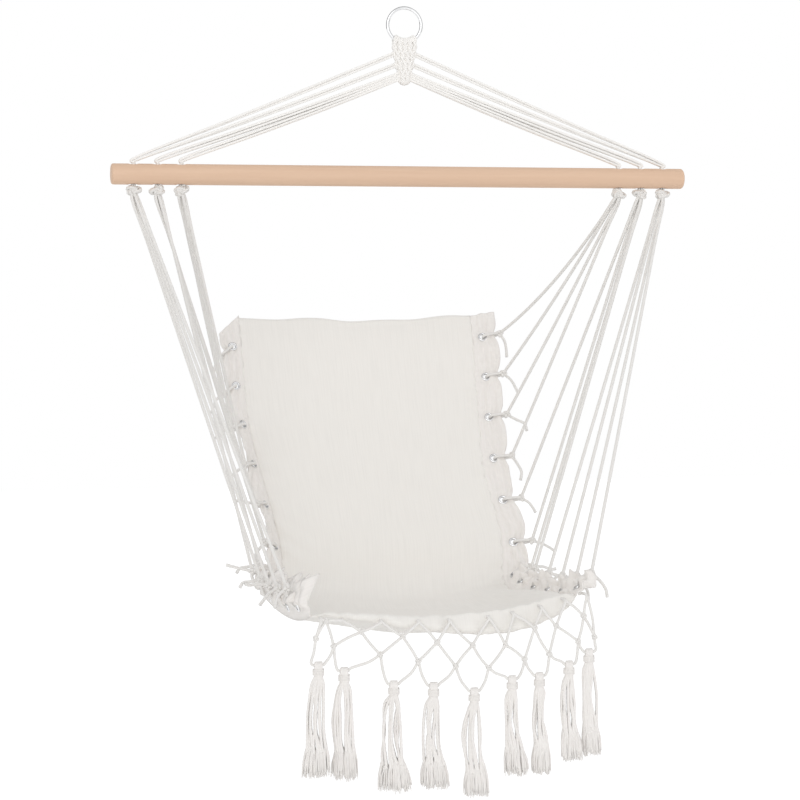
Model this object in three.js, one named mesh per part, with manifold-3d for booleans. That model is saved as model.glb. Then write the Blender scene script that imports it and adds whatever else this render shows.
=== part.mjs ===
// Hammock chair: a padded cloth seat slung on cords from a wooden bar, which hangs from a steel ring.
// Millimetres, +Z up. The origin is the point inside the top of the ring where a hook bears.
// +X runs along the bar to the right, and someone sitting in the chair faces -Y.

import * as THREE from 'three';
import { mergeVertices } from 'three/addons/utils/BufferGeometryUtils.js';
import Module from 'manifold-3d';

const wasm = await Module();
wasm.setup();

// Clearances
const touchGap = 0.3;
const overrun = 12;

// Hanging ring, and the cords looped over the bottom of its wire
const ringOuter = 64;
const ringWire = 5.5;
const ringSides = 8;
const ringSteps = 22;
const slideGap = 0.6;
const loopCount = 10;
const loopArcSteps = 4;
const loopValleyShare = 0.6;
const loopSpread = THREE.MathUtils.degToRad(42);
const swingRadius = 9.4;

// Cords
const cordThick = 4;
const cordSides = 6;
const fineSides = 5;
const bunchThick = 10;
const loosePitch = 4.5;

// Woven neck that gathers the cords under the ring
const neckLong = 67;
const neckTopWide = 47;
const neckFootWide = 23;
const neckTopDeep = 16;
const neckFootDeep = 18;
const neckStrands = 20;
const neckRows = 8;
const neckSquare = 0.65;
const weaveShare = 0.07;
const highLevelShare = 0.18;
const middleLevelShare = 0.48;
const lowLevelShare = 0.8;

// Spreader bar, and the holes that the cords pass through
const barLong = 1000;
const barThick = 35;
const barDrop = 256;
const barRounding = 4;
const barSides = 20;
const holeBore = 10.6;
const holeSides = 12;
const holeFirst = 37;
const holePitch = 40;
const cordRise = 6;

// Knots tied in each bunch of four cords, under the bar
const barKnotWide = 28;
const barKnotDeep = 18;
const barKnotRows = 4;

// Seat cloth: its line from the top of the back to the front lip, seen from the side
const backRun = 502;
const bendRun = 60;
const seatRun = 438;
const backLean = THREE.MathUtils.degToRad(30.5);
const bendLean = THREE.MathUtils.degToRad(84);
const lipLean = THREE.MathUtils.degToRad(107);
const topBehind = 325;
const topDrop = 245;
const seatAside = -16;
const seatSlew = 12;

// Padded middle of the cloth
const padWide = 438;
const padThick = 24;
const padSeamThick = 7;
const padEndThick = 15;
const frontNarrowShares = { left: 0, right: 0.045 };
const waistShares = { left: 0.17, right: 0.065 };
const waistTop = { left: 180, right: 0 };
const waistTight = { left: 502, right: 290 };
const waistEase = { left: 500, right: 320 };
const waistFoot = { left: 610, right: 470 };
const looseRowsFoot = 700;
const sideRise = 8;
const sideDrops = { left: 22, right: 0 };
const backSag = 12;
const seatSag = 34;
const padColumns = 8;

// Thin hem down each side, with its eyelets
const hemWide = 46;
const hemThick = 3;
const topHemTilt = THREE.MathUtils.degToRad(8);
const backHemTilts = { left: THREE.MathUtils.degToRad(50), right: topHemTilt };
const seatHemTilts = { left: THREE.MathUtils.degToRad(62), right: THREE.MathUtils.degToRad(42) };
const hemTurnTop = 90;
const hemTurnFoot = 270;
const hemRuffle = 6;
const eyeletCount = 12;
const eyeletInset = 18;
const eyeletFlat = 13;
const eyeletFirst = 50;
const eyeletLast = 42;
const hemDroop = { left: 44, right: -9 };
const eyeletOuter = 17;
const eyeletBore = 10;
const eyeletWall = 1;
const eyeletCrown = 1.5;
const eyeletLift = 0.5;
const eyeletSides = 8;

// Cord ends, tied round the hem at each eyelet
const edgeKnot = 13;
const tailLong = 46;
const tailBowShare = 0.12;

// Knotted net along the front lip
const netHalf = 221;
const netAside = -20;
const netDeep = 158;
const netCord = 3.5;
const netKnot = 8.5;
const netAbove = 10;
const netBowShare = 0.15;

// Tassels
const tasselLong = 172;
const tasselHead = 11;
const tasselNeck = 8;
const tasselHeadLong = 15;
const tasselFlare = 23;
const tasselDepthShare = 0.55;
const tasselStrands = 6;
const tasselJog = 7;
const tasselDomeTurn = THREE.MathUtils.degToRad(20);
const tasselGrooveShare = 0.22;
const tasselShoulderShare = 0.3;
const tasselSwellShare = 0.4;

const WELD = 0.0001;
const cordColour = 0xe4e1da;
const clothColour = 0xe9e6e1;
const shadeColour = 0xe2e0dc;
const woodColour = 0xe3c4a8;
const steelColour = 0xc9cbcd;

// Derived places
const ringCentre = -(ringOuter / 2 - ringWire);
const ringRadius = (ringOuter - ringWire) / 2;
const swingHeight = ringCentre - ringRadius;
const barHeight = ringCentre - barDrop;
const barFoot = barHeight - barThick / 2;
const knotHeight = barFoot - touchGap - barKnotDeep / 2;
const clothLong = backRun + bendRun + seatRun;
const padHalf = padWide / 2;

// Turns a closed geometry into a solid that can be joined and cut.
function solidOf(geometry) {
  const bare = new THREE.BufferGeometry();
  bare.setAttribute('position', geometry.getAttribute('position'));
  bare.setIndex(geometry.getIndex());
  const merged = mergeVertices(bare, WELD);
  const corners = merged.getIndex().array;
  const triVerts = [];
  for (let start = 0; start < corners.length; start += 3) {
    const [a, b, c] = corners.slice(start, start + 3);
    if (a !== b && b !== c && c !== a) triVerts.push(a, b, c);
  }
  const vertProperties = Float32Array.from(merged.getAttribute('position').array);
  return new wasm.Manifold(new wasm.Mesh({
    numProp: 3,
    vertProperties,
    triVerts: Uint32Array.from(triVerts),
  }));
}

function geometryOf(solid) {
  const { vertProperties, triVerts } = solid.getMesh();
  const geometry = new THREE.BufferGeometry();
  geometry.setAttribute('position', new THREE.BufferAttribute(vertProperties, 3));
  geometry.setIndex(new THREE.BufferAttribute(triVerts, 1));
  geometry.computeVertexNormals();
  return geometry;
}

function joined(geometries) {
  return geometries.map(solidOf).reduce((whole, piece) => whole.add(piece));
}

// Closes a stack of like outlines into one skin. A flat outline, whose second half runs back under
// its first, is capped across; a round one is capped from its middle.
function loft(rings, flat) {
  const around = rings[0].length;
  const places = rings.flat().flatMap((place) => [place.x, place.y, place.z]);
  const faces = [];
  for (let ring = 0; ring < rings.length - 1; ring += 1) {
    for (let side = 0; side < around; side += 1) {
      const a = ring * around + side;
      const b = ring * around + ((side + 1) % around);
      faces.push(a, b, a + around, b, b + around, a + around);
    }
  }
  for (const end of [0, rings.length - 1]) {
    const first = end * around;
    const capFaces = [];
    if (flat) {
      for (let side = 0; side < around / 2 - 1; side += 1) {
        const near = first + side;
        const far = first + around - 1 - side;
        capFaces.push(near, far, near + 1, near + 1, far, far - 1);
      }
    } else {
      const middle = new THREE.Vector3();
      rings[end].forEach((place) => middle.addScaledVector(place, 1 / around));
      const hub = places.length / 3;
      places.push(middle.x, middle.y, middle.z);
      for (let side = 0; side < around; side += 1) {
        capFaces.push(hub, first + ((side + 1) % around), first + side);
      }
    }
    faces.push(...(end === 0 ? capFaces : capFaces.reverse()));
  }
  const corner = (index) => new THREE.Vector3().fromArray(places, index * 3);
  let volume = 0;
  for (let start = 0; start < faces.length; start += 3) {
    const [a, b, c] = faces.slice(start, start + 3).map(corner);
    volume += a.dot(b.cross(c));
  }
  if (volume < 0) faces.reverse();
  const geometry = new THREE.BufferGeometry();
  geometry.setAttribute('position', new THREE.Float32BufferAttribute(places, 3));
  geometry.setIndex(faces);
  geometry.computeVertexNormals();
  return geometry;
}

// A cord's route: straight runs between points, each end of a run cut square to the turn.
class CordRoute extends THREE.Curve {
  constructor(points) {
    super();
    this.points = points;
  }

  getPoint(share, target = new THREE.Vector3()) {
    const place = share * (this.points.length - 1);
    const before = Math.min(Math.floor(place), this.points.length - 2);
    return target.lerpVectors(this.points[before], this.points[before + 1], place - before);
  }

  getPointAt(share, target) {
    return this.getPoint(share, target);
  }

  getTangentAt(share, target = new THREE.Vector3()) {
    const last = this.points.length - 1;
    const here = Math.round(share * last);
    target.set(0, 0, 0);
    for (const start of [here - 1, here]) {
      if (start >= 0 && start < last) {
        const run = new THREE.Vector3().subVectors(this.points[start + 1], this.points[start]);
        target.add(run.normalize());
      }
    }
    return target.normalize();
  }
}

function cord(points, thick, sides) {
  const corners = [];
  for (let side = 0; side < sides; side += 1) {
    const turn = (2 * Math.PI * side) / sides;
    corners.push(new THREE.Vector2(Math.cos(turn), Math.sin(turn)).multiplyScalar(thick / 2));
  }
  return new THREE.ExtrudeGeometry(new THREE.Shape(corners), {
    steps: points.length - 1,
    bevelEnabled: false,
    extrudePath: new CordRoute(points),
  });
}

function knot(place, thick) {
  const ball = new THREE.OctahedronGeometry(thick / 2, 0);
  return ball.translate(place.x, place.y, place.z);
}

function vector(x, y, z) {
  return new THREE.Vector3(x, y, z);
}

function material(color, roughness, metalness) {
  return new THREE.MeshStandardMaterial({ color, roughness, metalness });
}

const steel = material(steelColour, 0.18, 1);
const wood = material(woodColour, 0.55, 0);
const cotton = material(cordColour, 0.9, 0);
const cloth = material(clothColour, 0.95, 0);
const hemCloth = material(shadeColour, 0.95, 0);

// Hanging ring: one welded wire
function hangingRing() {
  const ring = new THREE.TorusGeometry(ringRadius, ringWire / 2, ringSides, ringSteps);
  ring.rotateX(Math.PI / 2);
  return ring.translate(0, 0, ringCentre);
}

// A long drum round the line that the neck swings on
function swingDrum(radius) {
  const drum = new THREE.CylinderGeometry(radius, radius, ringOuter * 2, cordSides * 4);
  drum.rotateZ(Math.PI / 2);
  return drum.translate(0, 0, swingHeight);
}

// Cords looped over the bottom of the ring side by side, cut off round underneath
function cordLoops() {
  const bedRadius = ringWire / 2 + slideGap;
  const legLong = ringWire / 2 + swingRadius;
  const columns = [];
  for (let column = 0; column <= 2 * loopCount; column += 1) {
    const turn = loopSpread * (column / loopCount - 1);
    const proud = cordThick * (column % 2 === 0 ? loopValleyShare : 1);
    const skin = (radius) => {
      const places = [vector(0, -radius, -legLong)];
      for (let step = 0; step <= loopArcSteps; step += 1) {
        const angle = (Math.PI * step) / loopArcSteps;
        places.push(vector(0, -Math.cos(angle) * radius, Math.sin(angle) * radius));
      }
      places.push(vector(0, radius, -legLong));
      return places;
    };
    const outline = [...skin(bedRadius + proud), ...skin(bedRadius).reverse()];
    columns.push(outline.map((place) => {
      const above = Math.max(place.z, 0);
      const below = Math.min(place.z, 0);
      const reach = ringRadius - above;
      return vector(Math.sin(turn) * reach, place.y, ringCentre - Math.cos(turn) * reach + below);
    }));
  }
  const underside = new THREE.BoxGeometry(ringOuter * 2, ringOuter, ringOuter);
  underside.translate(0, 0, swingHeight - ringOuter / 2);
  const cut = solidOf(underside).subtract(solidOf(swingDrum(swingRadius - touchGap / 2)));
  return geometryOf(solidOf(loft(columns, true)).subtract(cut));
}

// Woven neck: a flat tapering sleeve of cords, over and under each other, grown by a clearance
function neckSleeve(grown, weave) {
  const rings = [];
  for (let row = 0; row <= neckRows; row += 1) {
    const share = row / neckRows;
    const halfWide = THREE.MathUtils.lerp(neckTopWide, neckFootWide, share) / 2 + grown;
    const halfDeep = THREE.MathUtils.lerp(neckTopDeep, neckFootDeep, share) / 2 + grown;
    const ring = [];
    for (let strand = 0; strand < neckStrands; strand += 1) {
      const turn = (2 * Math.PI * strand) / neckStrands;
      const over = 1 - weave * ((strand + row) % 2);
      const across = Math.sign(Math.cos(turn)) * Math.abs(Math.cos(turn)) ** neckSquare;
      const deep = Math.sign(Math.sin(turn)) * Math.abs(Math.sin(turn)) ** neckSquare;
      ring.push(vector(halfWide * across * over, halfDeep * deep * over, swingHeight - neckLong * share));
    }
    rings.push(ring);
  }
  return loft(rings, false);
}

function wovenNeck() {
  const drum = solidOf(swingDrum(swingRadius + touchGap / 2));
  return geometryOf(solidOf(neckSleeve(0, weaveShare)).subtract(drum));
}

// Four cords from the neck to one hole in the bar, packed together where they pass through it
function upperCords(side, hole) {
  const holeX = holePlace(side, hole);
  const barTop = barHeight + barThick / 2;
  const fromOuterHole = hole === 2;
  const levels = fromOuterHole
    ? [[highLevelShare, 1], [middleLevelShare, 1], [highLevelShare, -1], [middleLevelShare, -1]]
    : [[lowLevelShare, hole * 4 - 1], [lowLevelShare, hole * 4 - 3]];
  const bunchLong = barThick + cordRise;
  const bunch = new THREE.CylinderGeometry(bunchThick / 2, bunchThick / 2, bunchLong, cordSides);
  bunch.rotateX(Math.PI / 2);
  const pieces = [bunch.translate(holeX, 0, barFoot + bunchLong / 2)];
  for (let strand = 0; strand < 4; strand += 1) {
    const outer = strand % 2 === 0 ? 1 : -1;
    const front = strand < 2 ? -1 : 1;
    const [levelShare, stack] = levels[fromOuterHole ? strand : strand % 2];
    const neckY = fromOuterHole ? 0 : (front * loosePitch) / 2;
    const aim = vector(0, neckY, swingHeight - neckLong * levelShare + (stack * loosePitch) / 2);
    const mouth = vector(holeX, (front * loosePitch) / 2, barTop + cordRise / 2);
    const run = vector(aim.x - mouth.x, 0, aim.z - mouth.z).normalize();
    const upward = vector(-run.z * Math.sign(run.x), 0, Math.abs(run.x));
    const start = mouth.clone().setX(holeX + (side * outer * loosePitch) / 4);
    const bend = mouth.clone().addScaledVector(run, cordRise * 2);
    bend.addScaledVector(upward, cordRise / 2 + (outer * loosePitch) / 2);
    pieces.push(cord([start, bend, aim], cordThick, cordSides));
  }
  return geometryOf(joined(pieces).subtract(solidOf(neckSleeve(touchGap, 0))));
}

function holePlace(side, hole) {
  return side * (barLong / 2 - holeFirst - holePitch * (2 - hole));
}

// Spreader bar: a turned dowel with rounded ends and six holes straight through it
function spreaderBar() {
  const radius = barThick / 2;
  const profile = [vector(0, -barLong / 2)];
  for (const end of [-1, 1]) {
    for (let step = 0; step <= 2; step += 1) {
      const turn = (Math.PI / 4) * (end < 0 ? step : 2 - step);
      profile.push(vector(
        radius - barRounding * (1 - Math.sin(turn)),
        end * (barLong / 2 - barRounding * (1 - Math.cos(turn))),
      ));
    }
  }
  profile.push(vector(0, barLong / 2));
  const dowel = new THREE.LatheGeometry(profile.map((place) => new THREE.Vector2(place.x, place.y)), barSides);
  dowel.rotateZ(-Math.PI / 2);
  let bar = solidOf(dowel.translate(0, 0, barHeight));
  for (const side of [-1, 1]) {
    for (let hole = 0; hole < 3; hole += 1) {
      const drill = new THREE.CylinderGeometry(holeBore / 2, holeBore / 2, barThick + overrun, holeSides);
      drill.rotateX(Math.PI / 2);
      bar = bar.subtract(solidOf(drill.translate(holePlace(side, hole), 0, barHeight)));
    }
  }
  return geometryOf(bar);
}

// The cloth's side line: where it is, and which way it faces, at a distance down from its top
function clothFrame(distance) {
  const parts = [[backRun, backLean, backLean], [bendRun, backLean, bendLean], [seatRun, bendLean, lipLean]];
  let y = topBehind;
  let z = barHeight - topDrop;
  let left = distance;
  let lean = backLean;
  for (const [run, from, to] of parts) {
    const part = Math.min(Math.max(left, 0), run);
    lean = part > 0 ? THREE.MathUtils.lerp(from, to, part / run) : lean;
    const turn = (lean - from) / 2;
    const chord = part * (turn === 0 ? 1 : Math.sin(turn) / turn);
    y -= chord * Math.sin(from + turn);
    z -= chord * Math.cos(from + turn);
    left -= part;
  }
  return {
    place: vector(seatAside - seatSlew * seatShare(distance), y, z),
    along: vector(0, -Math.sin(lean), -Math.cos(lean)),
    facing: vector(0, -Math.cos(lean), Math.sin(lean)),
  };
}

// How far the cloth has turned from back to seat, from 0 to 1
function seatShare(distance) {
  return THREE.MathUtils.smoothstep(distance, backRun - bendRun, backRun + 2 * bendRun);
}

// A place on the padded cloth: down from its top, across from -1 to 1, and up off its middle layer
function clothPlace(distance, across, lift) {
  const { place, facing } = clothFrame(distance);
  const sag = THREE.MathUtils.lerp(backSag, seatSag, seatShare(distance));
  const sideName = across < 0 ? 'left' : 'right';
  const waist = THREE.MathUtils.smoothstep(distance, waistTop[sideName], waistTight[sideName])
    - THREE.MathUtils.smoothstep(distance, waistEase[sideName], waistFoot[sideName]);
  const narrow = frontNarrowShares[sideName] * seatShare(distance) + waistShares[sideName] * waist;
  const alongSeat = THREE.MathUtils.clamp((distance - backRun) / (clothLong - backRun), 0, 1);
  const rise = sideRise * Math.sin(Math.PI * alongSeat) * across * across;
  const drop = sideDrops[sideName] * THREE.MathUtils.smoothstep(distance, backRun, clothLong) * across * across;
  const middle = place.clone().add(vector(padHalf * (1 - narrow) * across, 0, -drop));
  return middle.addScaledVector(facing, lift + rise - sag * (1 - across * across));
}

// Rows across the cloth: its ends, both sides of each pair of eyelets, and midway between pairs
function eyeletDistance(eyelet) {
  return eyeletFirst + ((clothLong - eyeletFirst - eyeletLast) * eyelet) / (eyeletCount - 1);
}

function clothRows() {
  const rows = [{ distance: 0, eyelet: 0, ruffle: 0 }];
  for (let eyelet = 0; eyelet < eyeletCount; eyelet += 1) {
    const distance = eyeletDistance(eyelet);
    if (eyelet > 0) {
      const midway = (distance + eyeletDistance(eyelet - 1)) / 2;
      rows.push({ distance: midway, eyelet: null, ruffle: eyelet % 2 === 0 ? hemRuffle : -hemRuffle });
    }
    rows.push({ distance: distance - eyeletFlat, eyelet, ruffle: 0 });
    rows.push({ distance: distance + eyeletFlat, eyelet, ruffle: 0 });
  }
  rows.push({ distance: clothLong, eyelet: eyeletCount - 1, ruffle: 0 });
  return rows;
}

// Padded middle: crowned between its side seams, thinner at the top and at the front lip
function seatPad() {
  const stations = [0, padThick];
  for (const { distance, eyelet } of clothRows()) {
    if (distance > padThick && (distance < looseRowsFoot || eyelet === null)) stations.push(distance);
  }
  stations.push(clothLong - padThick, clothLong);
  const rings = stations.map((distance) => {
    const fromEnd = Math.min(distance, clothLong - distance, padThick) / padThick;
    const middleThick = THREE.MathUtils.lerp(padEndThick, padThick, fromEnd);
    const skin = (face) => {
      const places = [];
      for (let column = 0; column <= padColumns; column += 1) {
        const across = Math.sin((Math.PI / 2) * ((2 * column) / padColumns - 1));
        const thick = THREE.MathUtils.lerp(middleThick, padSeamThick, across ** 4);
        places.push(clothPlace(distance, across, (face * thick) / 2));
      }
      return places;
    };
    return [...skin(1), ...skin(-1).reverse()];
  });
  return loft(rings, true);
}

// The hem's lie at a distance down its seam: the ways out from the seam and up off its face
function hemFrame(sideName, distance) {
  const side = sideName === 'left' ? -1 : 1;
  const above = clothPlace(distance - eyeletFlat, side, 0);
  const below = clothPlace(distance + eyeletFlat, side, 0);
  const along = below.clone().sub(above).normalize();
  const { facing } = clothFrame(distance);
  const turned = THREE.MathUtils.smoothstep(distance, hemTurnTop, hemTurnFoot);
  const backTilt = THREE.MathUtils.lerp(topHemTilt, backHemTilts[sideName], turned);
  const tilt = THREE.MathUtils.lerp(backTilt, seatHemTilts[sideName], seatShare(distance));
  const outward = vector(side * Math.cos(tilt), 0, 0).addScaledVector(facing, Math.sin(tilt));
  const droop = (hemDroop[sideName] / hemWide) * Math.max(1 - distance / backRun, 0);
  outward.addScaledVector(along, droop).normalize();
  const proud = new THREE.Vector3().crossVectors(outward, along).normalize();
  proud.multiplyScalar(Math.sign(proud.dot(facing)));
  const away = new THREE.Vector3().crossVectors(facing, along).normalize();
  const seamGap = (touchGap + (hemThick / 2) * Math.abs(proud.dot(away))) / Math.abs(outward.dot(away));
  return { side, outward, proud, seamGap, seam: above.lerp(below, 1 / 2) };
}

// A place on the hem at an eyelet: out from the seam, and up off its middle layer
function hemPlace(sideName, eyelet, out, lift) {
  const { outward, proud, seamGap, seam } = hemFrame(sideName, eyeletDistance(eyelet));
  return seam.addScaledVector(outward, seamGap + out).addScaledVector(proud, lift);
}

// Hem: flat at each eyelet and puckered between them
function sideHem(sideName) {
  const rings = clothRows().map(({ distance, eyelet, ruffle }) => {
    const frameDistance = eyelet === null ? distance : eyeletDistance(eyelet);
    const { side, outward, proud, seamGap } = hemFrame(sideName, frameDistance);
    const seam = clothPlace(distance, side, 0).addScaledVector(outward, seamGap);
    const skin = (face) => [0, 1].map((share) => seam.clone()
      .addScaledVector(outward, share * hemWide)
      .addScaledVector(proud, share * ruffle + (face * hemThick) / 2));
    return [...skin(1), ...skin(-1).reverse()];
  });
  let hem = solidOf(loft(rings, true));
  const bore = eyeletBore / 2 + eyeletWall + touchGap;
  for (let eyelet = 0; eyelet < eyeletCount; eyelet += 1) {
    const punch = new THREE.CylinderGeometry(bore, bore, overrun, eyeletSides);
    punch.rotateX(Math.PI / 2);
    punch.applyMatrix4(eyeletMatrix(sideName, eyelet));
    hem = hem.subtract(solidOf(punch));
  }
  return geometryOf(hem);
}

function eyeletMatrix(sideName, eyelet) {
  const { outward, proud } = hemFrame(sideName, eyeletDistance(eyelet));
  const down = new THREE.Vector3().crossVectors(proud, outward).normalize();
  const matrix = new THREE.Matrix4().makeBasis(outward, down, proud);
  return matrix.setPosition(hemPlace(sideName, eyelet, eyeletInset, 0));
}

// Eyelet: a barrel through the hem with a domed flange on each face
function eyeletRing() {
  const seat = hemThick / 2 + eyeletLift;
  const bore = eyeletBore / 2;
  const profile = [
    [bore, -seat - eyeletCrown],
    [eyeletOuter / 2, -seat],
    [bore + eyeletWall, -seat],
    [bore + eyeletWall, seat],
    [eyeletOuter / 2, seat],
    [bore, seat + eyeletCrown],
    [bore, -seat - eyeletCrown],
  ];
  const points = profile.map(([radius, height]) => new THREE.Vector2(radius, height));
  const ring = new THREE.LatheGeometry(points, eyeletSides);
  return ring.rotateX(Math.PI / 2);
}

// Where each cord end points: outward, forward and down, as shares of a tail's length
const tailShares = {
  left: [
    [0.2, 0.3, -0.9], [0.5, 0.3, -0.7], [0.75, 0.35, -0.35], [0.6, 0.5, -0.6],
    [0.85, 0.3, 0.1], [0.4, 0.6, -0.7], [0.9, 0.2, -0.3], [0.95, -0.1, 0.25],
    [0.8, 0.3, -0.25], [0.9, 0.3, 0.1], [0.7, 0.4, -0.5], [0.5, 0.5, -0.6],
  ],
  right: [
    [0.25, 0.2, -0.95], [0.55, 0.3, -0.8], [0.75, 0.3, -0.65], [0.3, 0.2, -0.95],
    [0.5, 0.3, -0.55], [0.9, 0.2, -0.45], [0.95, 0.1, -0.1], [0.5, 0.5, -0.6],
    [0.8, 0.4, -0.3], [0.6, 0.2, -0.7], [0.3, 0.4, -0.85], [0.45, 0.4, -0.8],
  ],
};
// How far each cord hangs below a straight line, as a share of its length
const slackShares = [0.05, 0.02, 0.012, 0, 0, 0, 0, 0, 0, 0, 0, 0];

// Four cords from the knot under one hole, each tied round the hem at its eyelet
function lowerCords(sideName, hole) {
  const side = sideName === 'left' ? -1 : 1;
  const knotPlace = vector(holePlace(side, hole), 0, knotHeight);
  const barKnot = new THREE.SphereGeometry(1 / 2, cordSides, barKnotRows);
  barKnot.rotateZ(Math.PI / 2);
  barKnot.rotateX(Math.PI / cordSides);
  barKnot.scale(barKnotWide, barKnotDeep, barKnotDeep);
  const pieces = [barKnot.translate(knotPlace.x, knotPlace.y, knotPlace.z)];
  const strandHalf = cordThick / 2 + touchGap;
  const overFlange = hemThick / 2 + eyeletLift + eyeletCrown + strandHalf + touchGap;
  const overHem = hemThick / 2 + strandHalf + touchGap;
  const boreIn = eyeletInset + eyeletBore / 2 - strandHalf;
  for (let strand = 0; strand < eyeletCount / 3; strand += 1) {
    const eyelet = hole * (eyeletCount / 3) + strand;
    const knotOut = hemWide + (edgeKnot + cordThick) / 2;
    const onHem = (out, lift) => hemPlace(sideName, eyelet, out, lift);
    const tied = onHem(knotOut, 0);
    const slack = knotPlace.distanceTo(tied) * slackShares[eyelet];
    const fall = (share) => knotPlace.clone().lerp(tied, share).add(vector(0, 0, -4 * slack * share * (1 - share)));
    const shares = slack > 0 ? [0, 0.25, 0.5, 0.75, 1] : [0, 1];
    pieces.push(cord(shares.map(fall), cordThick, cordSides));
    const [out, forward, up] = tailShares[sideName][eyelet];
    const reach = vector(side * out, -forward, up).multiplyScalar(tailLong);
    const bow = vector(side, 0, 0).multiplyScalar(tailLong * tailBowShare);
    const halfway = tied.clone().addScaledVector(reach, 0.5).add(bow);
    pieces.push(cord([tied, halfway, tied.clone().add(reach)], cordThick, fineSides));
    pieces.push(cord([
      tied,
      onHem(hemWide + cordThick / 2, overHem),
      onHem(eyeletInset + eyeletBore / 2 + eyeletWall, overFlange),
      onHem(boreIn, strandHalf + eyeletLift + hemThick / 2),
      onHem(boreIn, -strandHalf - eyeletLift - hemThick / 2),
      onHem(eyeletInset + eyeletBore / 2 + eyeletWall, -overFlange),
      onHem(hemWide + cordThick / 2, -overHem),
      tied,
    ], cordThick, fineSides));
    pieces.push(knot(tied, edgeKnot));
  }
  return geometryOf(joined(pieces));
}

// Front net: places across, as shares of its half width, and down, as shares of its depth
const attachShares = [-0.96, -0.81, -0.53, -0.265, -0.04, 0.245, 0.425, 0.63, 0.805, 0.96];
const firstRowShares = [
  [-0.927, 0.24], [-0.677, 0.36], [-0.382, 0.42], [-0.132, 0.49], [0.123, 0.53],
  [0.364, 0.54], [0.577, 0.38], [0.736, 0.37], [0.94, 0.28],
];
const secondRowShares = [
  [-1, 0.41], [-0.873, 0.49], [-0.541, 0.59], [-0.268, 0.67], [0, 0.73],
  [0.241, 0.76], [0.505, 0.69], [0.686, 0.65], [0.9, 0.53], [1.02, 0.49],
];
// Tassels: across, down, length, flare, and how far the foot stands aside, all as shares
const tasselShares = [
  [-0.982, 0.67, 1, 0.95, -0.2], [-0.8, 0.735, 0.98, 0.9, 0.05], [-0.445, 0.885, 0.97, 1.1, 0.1],
  [-0.159, 0.915, 0.94, 0.95, 0.1], [0.136, 0.985, 0.96, 0.9, 0.1], [0.414, 0.88, 0.9, 0.82, 0.4],
  [0.614, 0.86, 0.92, 0.64, 0.3], [0.832, 0.755, 0.89, 0.76, 0.3], [0.98, 0.64, 0.95, 0.64, 0.4],
];

function netFront() {
  const { facing } = clothFrame(clothLong);
  return clothPlace(clothLong, 0, 0).y - (padEndThick / 2) * facing.y - touchGap - netCord / 2;
}

function netPlace([acrossShare, downShare]) {
  const top = clothPlace(clothLong, 1, 0).z + netAbove;
  return vector(netAside + netHalf * acrossShare, netFront(), top - netDeep * downShare);
}

function attachPlace(acrossShare) {
  const x = netAside + netHalf * acrossShare;
  const middle = clothFrame(clothLong).place.x;
  const edge = clothPlace(clothLong, Math.sign(x - middle), 0).x;
  const across = THREE.MathUtils.clamp((x - middle) / Math.abs(edge - middle), -1, 1);
  return clothPlace(clothLong, across, 0).setX(x).setY(netFront());
}

function tasselTop(tassel) {
  return netPlace(tasselShares[tassel].slice(0, 2));
}

function frontNet() {
  const attach = attachShares.map(attachPlace);
  const first = firstRowShares.map(netPlace);
  const second = secondRowShares.map(netPlace);
  const pieces = [];
  const strand = (...points) => pieces.push(cord(points, netCord, fineSides));
  first.forEach((place, mesh) => {
    strand(attach[mesh], place);
    strand(attach[mesh + 1], place);
    strand(place, second[mesh]);
    strand(place, second[mesh + 1]);
  });
  strand(attach[0], second[0]);
  strand(attach[attach.length - 1], second[second.length - 1]);
  const joinAbove = tasselNeck / 2 + touchGap + netKnot / 2;
  tasselShares.forEach((shares, tassel) => {
    const join = tasselTop(tassel).add(vector(0, 0, joinAbove));
    for (const above of [second[tassel], second[tassel + 1]]) {
      const bow = above.clone().lerp(join, 0.5).add(vector((above.x - join.x) * netBowShare, 0, 0));
      strand(above, bow, join);
    }
    pieces.push(knot(join, netKnot));
  });
  for (const place of [...first, ...second]) {
    pieces.push(knot(place, netKnot));
  }
  return geometryOf(joined(pieces));
}

// Tassel: a wrapped head with a small round top, over a loose skirt of yarn
function tasselPiece(tassel) {
  const [, , longShare, flareShare, asideShare] = tasselShares[tassel];
  const long = tasselLong * longShare;
  const flare = tasselFlare * flareShare;
  const skirt = long - tasselHeadLong;
  const sections = [
    [(Math.cos(tasselDomeTurn) * tasselNeck) / 2, (Math.sin(tasselDomeTurn) * tasselNeck) / 2, 0],
    [-tasselHeadLong * tasselShoulderShare, tasselHead / 2, 0],
    [-tasselHeadLong, tasselHead / 2, 0],
    [-tasselHeadLong - skirt * tasselSwellShare, (tasselHead / 2 + flare) / 2, tasselSwellShare],
    [-long, flare, 1],
  ];
  const rings = sections.map(([height, radius, bare], level) => {
    const ring = [];
    for (let point = 0; point < 2 * tasselStrands; point += 1) {
      const turn = (Math.PI * point) / tasselStrands;
      const groove = point % 2 === 0 ? 1 : 1 - tasselGrooveShare * Math.min(bare * 4, 1);
      const deep = THREE.MathUtils.lerp(1, tasselDepthShare, Math.min(bare * 2, 1));
      const jog = level === sections.length - 1 && point % 3 === 0 ? tasselJog : 0;
      ring.push(vector(
        Math.cos(turn) * radius * groove + flare * asideShare * bare,
        Math.sin(turn) * radius * groove * deep,
        height + jog,
      ));
    }
    return ring;
  });
  return loft(rings, false);
}

// The whole chair
const chair = new THREE.Group();

function place(name, geometry, finish) {
  const mesh = new THREE.Mesh(geometry, finish);
  mesh.name = name;
  chair.add(mesh);
  return mesh;
}

place('hanging_ring', hangingRing(), steel);
place('cord_loops', cordLoops(), cotton);
place('woven_neck', wovenNeck(), cotton);
place('spreader_bar', spreaderBar(), wood);

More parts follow.
